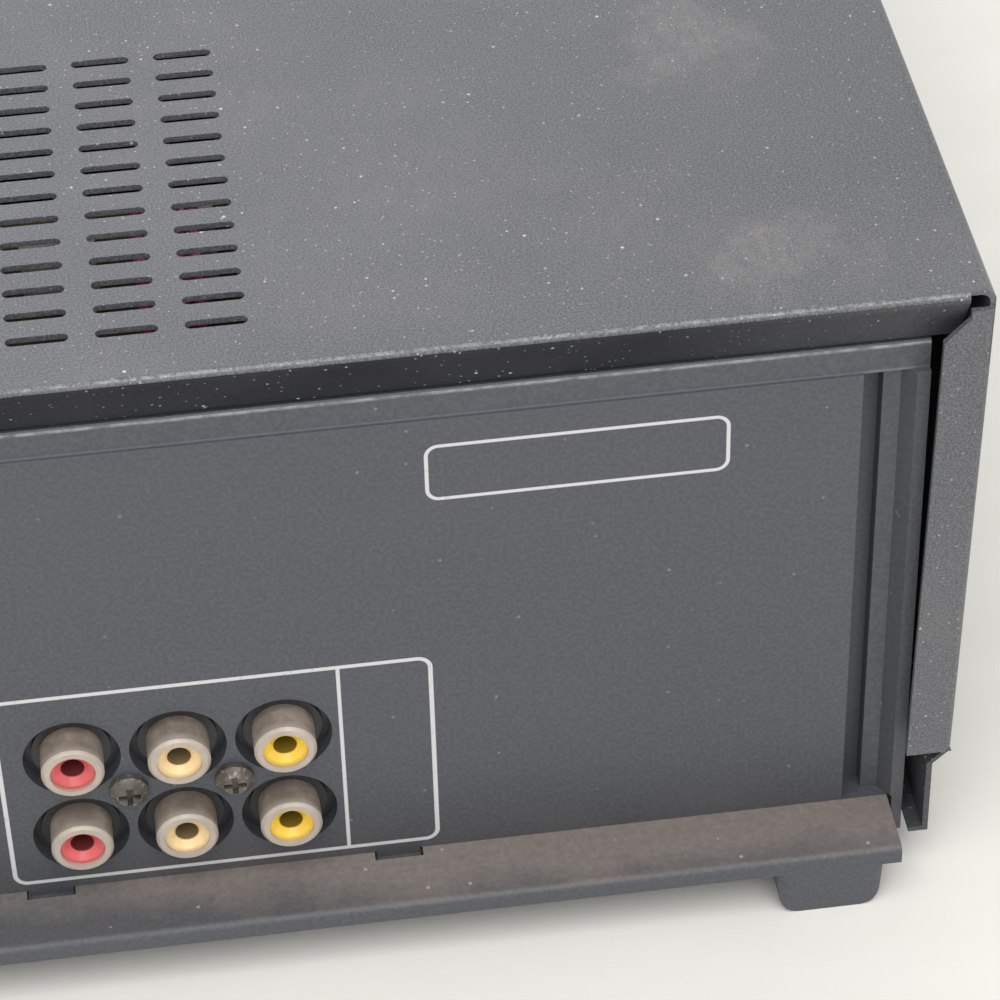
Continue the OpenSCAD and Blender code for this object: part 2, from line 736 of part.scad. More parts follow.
// Panel with a round hinge edge whose axis lies at the origin and which reaches up by len
module swing_panel(len) {
    along_x(-door_w / 2, door_w / 2) {
        translate([-barrel_r, 0]) square([door_t, len]);
        circle(barrel_r);
    }
    rod_x(0, 0, hinge_pin_r, -door_w / 2 - opening_gap - hinge_pin_l + gap,
        door_w / 2 + opening_gap + hinge_pin_l - gap);
    for (x = [-1, 1]) block([x * door_w / 3 - 1, door_t - barrel_r - 0.1, 4],
        [x * door_w / 3 + 1, door_t - barrel_r + 1.2, len - 4]);
}

module cassette_door() {
    color([0.16, 0.17, 0.19]) translate([deck_x, hinge_y, door_hinge_z]) mirror([0, 0, 1])
        swing_panel(door_h - barrel_r);
}

module control_flap() {
    color([0.16, 0.17, 0.19]) translate([deck_x, hinge_y, flap_hinge_z])
        swing_panel(door_h - barrel_r);
}

module tracking_knob() {
    color([0.2, 0.2, 0.22]) {
        difference() {
            rod_y(knob_x, knob_z, knob_d / 2, recess_y - 7, recess_y - gap);
            for (a = [0:20:350]) translate([knob_x, 0, knob_z]) rotate([0, a, 0])
                rod_y(knob_d / 2 + 0.3, 0, 0.8, recess_y - 8, recess_y - 1.5, $fn = 16);
            block([knob_x - 0.5, recess_y - 8, knob_z + 1], [knob_x + 0.5, recess_y - 6.4, knob_z + knob_d]);
        }
        rod_y(knob_x, knob_z, 3, recess_y - 1, recess_y + recess_t + 4);
    }
}

// Cap in the bezel with a stem that reaches its switch
module push_button(i, tone) {
    b = buttons[i];
    rest_gap = button_travel + 0.3;
    color(tone) {
        along_y(front_y, face_y + 5) translate([b[1], b[2]]) rounded_rect(b[3], b[4], 1.2);
        along_y(face_y + 4.9, switch_y - rest_gap) translate([b[1], b[2]]) square([4, 4], center = true);
        along_y(face_y + 4.9, face_y + 12) translate([b[1], b[2]]) square([b[3] - 6, 1.4], center = true);
    }
}

module power_button() {
    push_button(0, [0.24, 0.25, 0.27]);
}

module eject_button() {
    push_button(1, [0.24, 0.25, 0.27]);
}

module rewind_button() {
    push_button(2, [0.24, 0.25, 0.27]);
}

module play_button() {
    push_button(3, [0.24, 0.25, 0.27]);
}

module forward_button() {
    push_button(4, [0.24, 0.25, 0.27]);
}

module stop_button() {
    push_button(5, [0.24, 0.25, 0.27]);
}

module pause_button() {
    push_button(6, [0.24, 0.25, 0.27]);
}

module record_button() {
    push_button(7, [0.6, 0.16, 0.16]);
}

module channel_down_button() {
    push_button(8, [0.24, 0.25, 0.27]);
}

module channel_up_button() {
    push_button(9, [0.24, 0.25, 0.27]);
}

// Circuit boards and the power supply

module switch_body(b) {
    along_y(switch_y + 0.8, front_board_y + 0.1) translate([b[1], b[2]]) square([6.5, 6.5], center = true);
    rod_y(b[1], b[2], 1.7, switch_y, switch_y + 1);
}

module front_board() {
    board_side_x = chassis_w - wall_t - gap;
    color(board_green) {
        block([deck_x + deck_half + 2, front_board_y, floor_z + 5],
            [board_side_x, front_board_y + board_t, bezel_high - bezel_t - 3]);
        block([-board_side_x, front_board_y, floor_z + 5],
            [deck_x - deck_half - 1, front_board_y + board_t, bezel_high - bezel_t - 3]);
        for (b = buttons) switch_body(b);
    }
}

module capacitor(x, y, r, h) {
    rod_z(x, y, r, board_z + board_t - 0.1, board_z + board_t + h);
}

module main_board() {
    color(board_green) difference() {
        union() {
            block([main_rear_low[0], main_rear_low[1], board_z],
                [main_rear_high[0], main_rear_high[1], board_z + board_t]);
            block([main_side_low[0], main_side_low[1], board_z],
                [main_side_high[0], main_side_high[1], board_z + board_t]);
            block([main_side_low[0], main_side_high[1] - 1, board_z],
                [main_rear_high[0], main_rear_low[1] + 1, board_z + board_t]);
            for (i = [0:5])
                capacitor(main_side_low[0] + 20 + i * 22, main_side_low[1] + 14, 4 + i % 3, 14 + 3 * (i % 2));
            for (i = [0:4]) capacitor(main_rear_low[0] + 20 + i * 16, main_rear_low[1] + 28, 3.2, 11);
            for (i = [0:2], j = [0:1]) block([main_side_low[0] + 24 + i * 44, main_side_low[1] + 48 + j * 44,
                board_z + board_t - 0.1], [main_side_low[0] + 50 + i * 44, main_side_low[1] + 60 + j * 44,
                board_z + board_t + 4]);
        }
        for (s = board_boss_sites) rod_z(s[0], s[1], 1.7, board_z - cut, board_z + board_t + cut);
    }
}

signal_y = main_rear_low[1] + 8;
signal_x = [jack_col(0) - 18, jack_col(2) + 46];
signal_top = body_h - sheet_t - 14;
module signal_board() {
    color([0.72, 0.66, 0.5]) {
        block([signal_x[0], signal_y, board_z + board_t + gap],
            [signal_x[1], signal_y + board_t, signal_top]);
        for (i = [0:3]) block([signal_x[0] + 8 + 22 * i, signal_y + board_t - 0.1, board_z + 16],
            [signal_x[0] + 22 + 22 * i, signal_y + board_t + 4, board_z + 42]);
    }
}

module board_connectors() {
    color(cream) {
        for (i = [0:5]) block([signal_x[0] + 4 + i * 16, signal_y + board_t + gap, signal_top - 9],
            [signal_x[0] + 14 + i * 16, signal_y + board_t + 6, signal_top - 1 + 2 * (i % 2)]);
        for (i = [0:3]) block([main_rear_low[0] + 30 + i * 50, main_rear_high[1] - 22, board_z + board_t],
            [main_rear_low[0] + 48 + i * 50, main_rear_high[1] - 16, board_z + board_t + 9]);
    }
}

// Route of the loom from the signal board down to the main board, as points in Y and Z
loom_route = [[0, 0], [3, 2.4], [7, 4], [12, 4.4], [17, 2.4], [20, -3], [21, -11], [21, -22], [21, -34],
    [21, -46]];
loom_r = 0.9;
function loom_ring(p, q, x, y, z) = let (d = (q - p) / norm(q - p), n = [-d[1], d[0]])
    [for (a = [0:60:300])
        [x + loom_r * cos(a), y + p[0] + loom_r * sin(a) * n[0], z + p[1] + loom_r * sin(a) * n[1]]];

module loom_wire(x) {
    n = len(loom_route);
    rings = [for (i = [0:n - 1]) loom_ring(loom_route[i],
        i < n - 1 ? loom_route[i + 1] : 2 * loom_route[i] - loom_route[i - 1], x,
        signal_y + board_t + 3.5, signal_top + 2.4)];
    polyhedron([for (ring = rings) each ring],
        concat([[5, 4, 3, 2, 1, 0]], [for (i = [0:n - 2], k = [0:5])
            [6 * i + k, 6 * i + (k + 1) % 6, 6 * (i + 1) + (k + 1) % 6, 6 * (i + 1) + k]],
            [[for (k = [0:5]) 6 * (n - 1) + k]]));
}

module wire_loom() {
    color([0.86, 0.3, 0.5]) for (i = [0:3]) loom_wire(signal_x[0] + 23 + i * 2.4);
}

module power_board() {
    color([0.62, 0.5, 0.32]) difference() {
        union() {
            block([power_low[0], power_low[1], board_z], [power_high[0], power_high[1], board_z + board_t]);
            capacitor(power_low[0] + 16, power_low[1] + 24, 11, 34);
            capacitor(power_low[0] + 16, power_low[1] + 52, 9, 28);
            capacitor(power_low[0] + 42, power_low[1] + 16, 6.5, 22);
            block([power_high[0] - 32, power_low[1] + 6, board_z + board_t - 0.1],
                [power_high[0] - 14, power_low[1] + 14, board_z + board_t + 9]);
        }
        for (s = power_boss_sites) rod_z(s[0], s[1], 1.7, board_z - cut, board_z + board_t + cut);
    }
}

module transformer() {
    centre = [power_high[0] - 34, power_low[1] + 52];
    low = board_z + board_t + gap;
    core = [54, 20, 46];
    limb = 9;
    window = [9.2, core[2] - 2 * limb];
    window_x = core[0] / 4;
    coil_out = 8;
    play = 0.3;
    bite = 0.1;
    coil_x = window_x + window[0] / 2 - play;
    inner_x = window_x - window[0] / 2 + bite;
    color([0.3, 0.3, 0.32]) difference() {
        block([centre[0] - core[0] / 2, centre[1] - core[1] / 2, low],
            [centre[0] + core[0] / 2, centre[1] + core[1] / 2, low + core[2]]);
        for (s = [-1, 1])
            block([centre[0] + s * window_x - window[0] / 2, centre[1] - core[1], low + limb],
                [centre[0] + s * window_x + window[0] / 2, centre[1] + core[1], low + limb + window[1]]);
    }
    color([0.86, 0.78, 0.42]) difference() {
        block([centre[0] - coil_x, centre[1] - core[1] / 2 - coil_out, low + limb + play],
            [centre[0] + coil_x, centre[1] + core[1] / 2 + coil_out, low + limb + window[1] - play]);
        block([centre[0] - inner_x, centre[1] - core[1] / 2 - bite, low],
            [centre[0] + inner_x, centre[1] + core[1] / 2 + bite, low + core[2]]);
    }
}

module heat_sink() {
    low = [power_low[0] + 30, power_high[1] - 30];
    base = board_z + board_t + gap;
    plate = [70, 3, 40];
    fins = 10;
    fin_t = 1.6;
    fin_end = 16;
    fin_pitch = 7.4;
    color([0.66, 0.67, 0.7]) {
        block([low[0], low[1], base], [low[0] + plate[0], low[1] + plate[1], base + plate[2]]);
        for (i = [0:fins - 1]) translate([low[0] + 1 + i * fin_pitch, low[1], base])
            block([0, plate[1] - 0.1, 0], [fin_t, fin_end, plate[2]]);
    }
    color([0.1, 0.1, 0.1]) for (i = [0:2]) block([low[0] + 10 + 20 * i, low[1] - 4.8, base + 12],
        [low[0] + 20 + 20 * i, low[1] - gap, base + 28]);
}

// Tape transport

drum_y = 62;
drum_r = drum_d / 2;
drum_shaft_r = 3;
drum_seam_z = deck_top + 20;
drum_high_z = 17;
capstan_x = deck_x + 62;
capstan_y = 37;
capstan_r = capstan_d / 2;
pinch_r = pinch_d / 2;
pinch_arm_l = 24;
pinch_rest = 25;
pinch_pivot = [capstan_x + pinch_arm_l, capstan_y + capstan_r + pinch_r + gap];
reel_y = -33;
reel_r = reel_d / 2;
idler_pivot_y = -95;
idler_arm_l = 45;
idler_r = 12;
guide_start = [36, 14];
guide_dir = [sin(7), cos(7)];
tape_z = 42;
head_x = 50;
bearing_r = 5.5;
holder_h = 27.4;
holder_l = 100;
holder_y = -141;
holder_t = 1;
holder_z = 56.7;
lift_t = 1.2;
slider_t = 0.8;
lift_x = holder_w / 2 + 2.2;
cam_x = deck_x - deck_half + 29;
cam_y = 48;
cam_r = 16.4;
worm_r = 4;
worm_y = cam_y + cam_r + worm_r + gap;
worm_z = deck_top + 7;

// Places children at the drum's centre with its axis tilted about X
module at_drum() {
    translate([deck_x, drum_y, drum_seam_z]) rotate([drum_tilt, 0, 0]) children();
}

module guide_slot(side) {
    width = 4.4;
    a = [deck_x + side * guide_start[0], guide_start[1]];
    b = a + guide_travel * [side * guide_dir[0], guide_dir[1]];
    linear_extrude(2 * deck_top) {
        translate(a) circle(width / 2);
        translate(b) circle(width / 2);
        translate(a) rotate(atan2(b[1] - a[1], b[0] - a[0])) translate([0, -width / 2 + gap / 4])
            square([norm(b - a), width - gap / 2]);
    }
}

module deck_plate() {
    w = 2 * deck_half;
    l = deck_rear_y - deck_front_y;
    color(zinc) difference() {
        union() {
            translate([deck_x, (deck_front_y + deck_rear_y) / 2, deck_z]) linear_extrude(deck_t)
                rounded_rect(w, l, 5);
            for (s = [-1, 1]) rod_z(deck_x + s * reel_pitch / 2, reel_y, 1.5, deck_z, deck_top + 19);
            rod_z(deck_x, idler_pivot_y, 2, deck_z, deck_top + 5);
            rod_z(cam_x, cam_y, 2.5, deck_z, deck_top + 11);
            rod_z(pinch_pivot[0], pinch_pivot[1], 2, deck_z, deck_top + 12);
            for (s = [-1, 1]) rod_z(deck_x + s * (deck_half - 19), 29, 2.6, deck_z, tape_z + 14);
        }
        for (s = [-1, 1]) guide_slot(s);
        rod_z(capstan_x, capstan_y, bearing_r + gap, 0, body_h);
        rod_z(deck_x, drum_y, 12, 0, body_h);
        for (s = deck_boss_sites) rod_z(s[0], s[1], 1.7, 0, body_h);
        translate([deck_x, -90, 0]) linear_extrude(body_h) for (s = [-1, 1])
            translate([s * 62, 0]) rounded_rect(44, 60, 6);
        translate([deck_x, -4, 0]) linear_extrude(body_h) rounded_rect(40, 22, 4);
    }
}

module deck_screws() {
    color(steel) for (s = deck_boss_sites) translate([s[0], s[1], deck_top + 0.05])
        pan_screw(3.4, 2.4, 1.25, 8);
}

// Fixed drum half, sawn level where it stands on the deck plate
module lower_drum() {
    color(zinc) difference() {
        intersection() {
            at_drum() translate([0, 0, -2 * drum_r]) cylinder(h = 2 * drum_r - 0.15, r = drum_r);
            block([deck_x - drum_r - 6, drum_y - drum_r - 6, deck_top],
                [deck_x + drum_r + 6, drum_y + drum_r + 6, body_h]);
        }
        at_drum() translate([0, 0, -2 * drum_r]) cylinder(h = 4 * drum_r, r = drum_shaft_r + run);
        at_drum() rotate_extrude() translate([drum_r, -9]) square([1, 0.6], center = true);
    }
}

module upper_drum() {
    color([0.8, 0.81, 0.83]) at_drum() {
        difference() {
            union() {
                translate([0, 0, 0.15]) cylinder(h = drum_high_z - 0.5, r = drum_r);
                translate([0, 0, drum_high_z - 0.5]) cylinder(h = 0.6, r1 = drum_r, r2 = drum_r - 0.8);
                cylinder(h = drum_high_z + 3, r = 9);
            }
            translate([0, 0, drum_high_z - 3]) difference() {
                cylinder(h = 5, r = drum_r - 5);
                cylinder(h = 6, r = 12);
            }
            for (a = [0:90:270]) rotate(a) translate([drum_r, 0, 0]) cube([3, 5, 5], center = true);
        }
        translate([0, 0, -drum_seam_z + deck_z - 4]) cylinder(h = drum_seam_z - deck_z + 5, r = drum_shaft_r);
        translate([0, 0, -drum_seam_z + deck_z - 8]) cylinder(h = 5, r = 16);
    }
}

module capstan_bearing() {
    color(brass_tone) difference() {
        union() {
            rod_z(capstan_x, capstan_y, bearing_r, deck_z - 3, deck_top + 10);
            rod_z(capstan_x, capstan_y, bearing_r + 2, deck_top, deck_top + 1.6);
        }
        rod_z(capstan_x, capstan_y, capstan_r + run, 0, body_h);
    }
}

module capstan() {
    low = floor_z + 1.2;
    color(steel) {
        rod_z(capstan_x, capstan_y, capstan_r, low, tape_z + 18);
        difference() {
            rod_z(capstan_x, capstan_y, flywheel_d / 2, low, deck_z - 3.6);
            difference() {
                rod_z(capstan_x, capstan_y, flywheel_d / 2 - 5, low - cut, low + 2.5);
                rod_z(capstan_x, capstan_y, 8, low - cut, low + 3);
            }
        }
    }
}

// Places children on the pinch arm, which lies along -X from its pivot when the roller is engaged
module at_pinch() {
    translate([pinch_pivot[0], pinch_pivot[1], deck_top]) rotate(-pinch_rest) children();
}

module pinch_arm() {
    color(zinc) at_pinch() difference() {
        union() {
            translate([0, 0, gap]) cylinder(h = 8, r = 4.5);
            translate([-pinch_arm_l, -3.2, 2]) cube([pinch_arm_l, 6.4, 2]);
            translate([-pinch_arm_l, 0, 2]) cylinder(h = 2, r = 3.2);
            translate([-pinch_arm_l, 0, 2]) cylinder(h = tape_z - deck_top + 14, r = 1.5);
        }
        cylinder(h = 20, r = 2 + run);
    }
}

module pinch_roller() {
    color([0.1, 0.1, 0.1]) at_pinch() translate([-pinch_arm_l, 0, tape_z - deck_top - 3]) difference() {
        cylinder(h = 16, r = pinch_r);
        translate([0, 0, -cut]) cylinder(h = 18, r = 1.5 + run);
        for (z = [0, 15.2]) translate([0, 0, z]) difference() {
            cylinder(h = 1.6, r = pinch_r - 2, center = true);
            cylinder(h = 3, r = 3, center = true);
        }
    }
}

module reel(side) {
    color([0.93, 0.93, 0.9]) translate([deck_x + side * reel_pitch / 2, reel_y, deck_top + gap])
        difference() {
            union() {
                linear_extrude(3) gear_shape(reel_r, 60);
                cylinder(h = 8, r = 15);
                cylinder(h = 18, r = 5.5);
                for (a = [0:120:240]) rotate(a) translate([0, -1.2, 0]) cube([9.5, 2.4, 17]);
            }
            translate([0, 0, -cut]) cylinder(h = 30, r = 1.5 + run);
            for (a = [0:60:300]) rotate(a) translate([11.5, 0, 3]) cylinder(h = 6, r = 2);
        }
}

module supply_reel() {
    reel(-1);
}

module takeup_reel() {
    reel(1);
}

module idler_arm() {
    color(zinc) translate([deck_x, idler_pivot_y, deck_top + gap]) difference() {
        union() {
            cylinder(h = 4, r = 4.5);
            translate([-3, 0, 0]) cube([6, idler_arm_l, 1.2]);
            translate([0, idler_arm_l, 0]) cylinder(h = 1.2, r = 4);
            translate([0, idler_arm_l, 0]) cylinder(h = 7, r = 1.5);
        }
        translate([0, 0, -cut]) cylinder(h = 20, r = 2 + run);
    }
}

module idler_gear() {
    color([0.9, 0.9, 0.86]) translate([deck_x, idler_pivot_y + idler_arm_l, deck_top + gap + 1.2 + gap])
        difference() {
            union() {
                linear_extrude(2.4) gear_shape(idler_r, 32);
                cylinder(h = 5, r = 5);
            }
            translate([0, 0, -cut]) cylinder(h = 12, r = 1.5 + run);
        }
}

module tape_guide(side) {
    color(steel) translate([deck_x + side * guide_start[0], guide_start[1], 0]) {
        translate([0, 0, deck_top + gap]) linear_extrude(4) rotate(-side * 7) rounded_rect(11, 14, 3);
        rod_z(0, 0, 2, deck_z - 2, deck_top + 1);
        rod_z(0, 0, 4, deck_z - 3.5, deck_z - gap);
        rod_z(0, 2, 2.6, deck_top + 4, tape_z + 14);
        for (z = [tape_z - 1.6, tape_z + 12.8]) rod_z(0, 2, 3.6, z, z + 1.6);
    }
}

module supply_guide() {
    tape_guide(-1);
}

module takeup_guide() {
    tape_guide(1);
}

module tape_heads() {
    color(zinc) for (s = [-1, 1]) {
        block([deck_x + s * head_x - 4, 27, deck_top], [deck_x + s * head_x + 4, 33, tape_z - 2]);
        block([deck_x + s * head_x - 4, 28, tape_z - 2.1], [deck_x + s * head_x + 4, 33, tape_z + 14]);
    }
}

module loading_motor() {
    length = 20;
    end_x = cam_x - 11;
    color(steel) {
        rod_x(worm_y, worm_z, 6.8, end_x - length, end_x);
        rod_x(worm_y, worm_z, 3, end_x - 0.1, end_x + 1.5);
        block([end_x - length + 5, worm_y - 5, deck_top], [end_x - 3, worm_y + 5, worm_z - 4]);
    }
}

module worm() {
    core_r = 2.4;
    thread_w = 1.2;
    pitch = 2.4;
    color([0.93, 0.93, 0.9]) {
        rod_x(worm_y, worm_z, core_r, cam_x - 9.2, cam_x + 9);
        for (i = [0:6]) translate([cam_x - 8 + i * pitch, worm_y, worm_z]) rotate([0, 90, 0]) {
            cylinder(h = thread_w / 2, r1 = core_r, r2 = worm_r);
            translate([0, 0, thread_w / 2]) cylinder(h = thread_w / 2, r1 = worm_r, r2 = core_r);
        }
    }
}

module cam_gear() {
    color([0.93, 0.93, 0.9]) translate([cam_x, cam_y, deck_top + gap]) difference() {
        union() {
            linear_extrude(5) gear_shape(cam_r, 46);
            cylinder(h = 9, r = 6);
        }
        translate([0, 0, -cut]) cylinder(h = 12, r = 2.5 + run);
        translate([0, 0, 3.5]) difference() {
            translate([2, 0, 0]) cylinder(h = 2, r = 12);
            translate([2, 0, -cut]) cylinder(h = 4, r = 9.4);
        }
    }
}

// Cassette lift

pin_r = 2;
pin_ys = [holder_y + 30, holder_y + 80];
pin_z = holder_z + 14;
lift_y = [-127, 30];
lift_top = holder_z + holder_h + 3;
module lift_frame() {
    window_y = [pin_ys[0] - pin_r - 1, pin_ys[1] + holder_in + pin_r + 1];
    window_z = [pin_z - holder_down - pin_r - 1, pin_z + pin_r + 1];
    color(zinc) {
        for (s = [-1, 1]) translate([deck_x, 0, 0]) mirror([s < 0 ? 1 : 0, 0, 0]) {
            difference() {
                block([lift_x, lift_y[0], deck_top], [lift_x + lift_t, lift_y[1], lift_top]);
                block([lift_x - cut, window_y[0], window_z[0]],
                    [lift_x + lift_t + cut, min(window_y[1], lift_y[1] - 5), window_z[1]]);
            }
            block([lift_x - 0.9, lift_y[0] + 20, deck_top], [lift_x + 0.1, lift_y[0] + 30, deck_top + 1.2]);
        }
        for (bridge = [[-20, 18], [-60, 8]]) block([deck_x - lift_x - lift_t, bridge[0], lift_top],
            [deck_x + lift_x + lift_t, bridge[0] + bridge[1], lift_top + lift_t]);
    }
}

// Sliding links that carry the holder's pins in upright slots, joined by a bar over the holder
module lift_slider() {
    x = holder_w / 2 + 0.7;
    bar_z = holder_z + holder_h + gap + 0.7;
    low_z = pin_z - holder_down - 6;
    color(zinc) {
        for (s = [0, 1]) translate([deck_x, 0, 0]) mirror([s, 0, 0]) difference() {
            block([x, pin_ys[0] - 6, low_z], [x + slider_t, pin_ys[1] + 6, bar_z + slider_t]);
            for (y = pin_ys) block([x - cut, y - pin_r - gap, pin_z - holder_down - pin_r - gap],
                [x + slider_t + cut, y + pin_r + gap, pin_z + pin_r + gap]);
        }
        block([deck_x - x - slider_t, pin_ys[0] + 27, bar_z], [deck_x + x + slider_t, pin_ys[0] + 34,
            bar_z + slider_t]);
    }
}

module cassette_holder() {
    w = holder_w / 2;
    ledge = 12;
    color(steel) translate([deck_x, holder_y, holder_z]) {
        difference() {
            block([-w, 0, 0], [w, holder_l, holder_h]);
            block([-w + holder_t, -cut, holder_t], [w - holder_t, holder_l + cut, holder_h - holder_t]);
            block([-w + ledge, -cut, -cut], [w - ledge, holder_l + cut, holder_h / 2]);
            translate([0, 0, holder_h - 2]) linear_extrude(4) for (s = [-1, 1])
                translate([s * 46, 46]) rounded_rect(50, 40, 6);
        }
        for (s = [-1, 1], y = pin_ys) rod_x(y - holder_y, pin_z - holder_z, pin_r,
            s > 0 ? w - 0.1 : -w - 3.2, s > 0 ? w + 3.2 : -w + 0.1);
    }
}

top_cover();
cover_screws();
chassis();
rear_panel();
jack_block();
jack_shells();
jack_inserts_red();
jack_inserts_cream();
jack_inserts_yellow();
jack_screws();
rf_unit();
channel_switch();
cord_gland();
front_bezel();
display_window();
display_tube();
cassette_door();
control_flap();
tracking_knob();
power_button();
eject_button();
play_button();
stop_button();
rewind_button();
forward_button();
pause_button();
record_button();
channel_up_button();
channel_down_button();
front_board();
main_board();
board_connectors();
signal_board();
wire_loom();
power_board();
transformer();
heat_sink();
deck_plate();
deck_screws();
lower_drum();
upper_drum();
capstan_bearing();
capstan();
pinch_arm();
pinch_roller();
supply_reel();
takeup_reel();
idler_arm();
idler_gear();
supply_guide();
takeup_guide();
tape_heads();
loading_motor();
worm();
cam_gear();
lift_frame();
lift_slider();
cassette_holder();
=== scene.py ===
import json
import math

import bpy
from mathutils import Matrix, Vector


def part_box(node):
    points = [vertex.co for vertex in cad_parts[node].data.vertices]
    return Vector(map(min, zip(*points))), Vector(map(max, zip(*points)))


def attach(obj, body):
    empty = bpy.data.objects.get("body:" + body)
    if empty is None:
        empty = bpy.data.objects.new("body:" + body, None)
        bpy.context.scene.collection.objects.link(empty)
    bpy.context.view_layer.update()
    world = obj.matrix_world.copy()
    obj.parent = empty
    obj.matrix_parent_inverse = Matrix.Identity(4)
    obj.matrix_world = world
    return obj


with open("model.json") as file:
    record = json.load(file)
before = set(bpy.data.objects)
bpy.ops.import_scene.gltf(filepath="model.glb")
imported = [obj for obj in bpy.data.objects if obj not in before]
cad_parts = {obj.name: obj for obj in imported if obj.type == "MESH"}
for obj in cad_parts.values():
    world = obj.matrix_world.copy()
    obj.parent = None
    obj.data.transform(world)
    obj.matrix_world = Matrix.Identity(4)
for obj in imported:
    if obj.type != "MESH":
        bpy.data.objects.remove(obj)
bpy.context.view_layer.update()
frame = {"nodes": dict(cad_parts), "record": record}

# Places on the object that the finishes refer to, in metres
TOP_Z = 0.0994
FOLD_Z = 0.0955
LIP_Z = 0.088
HEM_Z = 0.0206
BAND_TOP = 0.08955
BAND_H = 0.00435
PANEL_Y = 0.1640
LEDGE_Y = 0.1645
JACK_OUTLINE = ((-0.14448, 0.0117), (-0.08706, 0.0452))
JACK_DIVIDER_X = -0.1323
LABEL_OUTLINE = ((-0.1835, 0.0723), (-0.1451, 0.0809))
LINE_EDGE = 0.00004

# Colours that more than one finish shares
PALE_INK = (0.66, 0.66, 0.67)


# Camera, light, floor

def camera():
    """The photo's viewpoint, solved from the edges of the top, the rear panel and the ledge."""
    data = bpy.data.cameras.new("photo_camera")
    data.lens = 135.78
    data.sensor_width = 36
    data.clip_start = 0.02
    obj = bpy.data.objects.new("photo_camera", data)
    right = Vector((-0.99054, 0.13564, -0.02099))
    up = Vector((-0.10426, -0.64411, 0.7578))
    back = Vector((0.08927, 0.75281, 0.65215))
    place = Matrix((right, up, back)).transposed().to_4x4()
    place.translation = Vector((-0.1117, 0.5236, 0.3821))
    obj.matrix_world = place
    bpy.context.scene.collection.objects.link(obj)
    bpy.context.scene.camera = obj


def area_light(name, place, target, size, watts, colour=(1, 1, 1)):
    data = bpy.data.lights.new(name, "AREA")
    data.shape = "SQUARE"
    data.size = size
    data.energy = watts
    data.color = colour
    obj = bpy.data.objects.new(name, data)
    obj.location = place
    obj.rotation_euler = (Vector(target) - Vector(place)).to_track_quat("-Z", "Y").to_euler()
    bpy.context.scene.collection.objects.link(obj)


def studio():
    """Soft surroundings, white where the camera or a gloss sees them, and two wide lamps."""
    scene = bpy.context.scene
    scene.view_settings.view_transform = "Standard"
    world = bpy.data.worlds.new("studio")
    world.use_nodes = True
    links = world.node_tree.links
    soft = world.node_tree.nodes["Background"]
    soft.inputs["Color"].default_value = (1.0, 0.99, 0.975, 1)
    soft.inputs["Strength"].default_value = 0.60
    white = world.node_tree.nodes.new("ShaderNodeBackground")
    white.inputs["Color"].default_value = (1, 1, 1, 1)
    white.inputs["Strength"].default_value = 1.0
    path = world.node_tree.nodes.new("ShaderNodeLightPath")
    seen = path.outputs["Is Camera Ray"]
    for ray in ("Is Glossy Ray", "Is Transmission Ray"):
        either = world.node_tree.nodes.new("ShaderNodeMath")
        either.operation = "MAXIMUM"
        links.new(seen, either.inputs[0])
        links.new(path.outputs[ray], either.inputs[1])
        seen = either.outputs[0]
    choice = world.node_tree.nodes.new("ShaderNodeMixShader")
    links.new(seen, choice.inputs[0])
    links.new(soft.outputs[0], choice.inputs[1])
    links.new(white.outputs[0], choice.inputs[2])
    links.new(choice.outputs[0], world.node_tree.nodes["World Output"].inputs["Surface"])
    scene.world = world
    area_light("rear_key", (-0.05, 1.0, 1.45), (-0.1, 0.1, 0), 1.6, 21, (1.0, 0.99, 0.98))
    area_light("front_fill", (0.3, -1.3, 1.2), (0, -0.1, 0.05), 1.2, 7, (0.97, 0.98, 1.0))


# Material building blocks

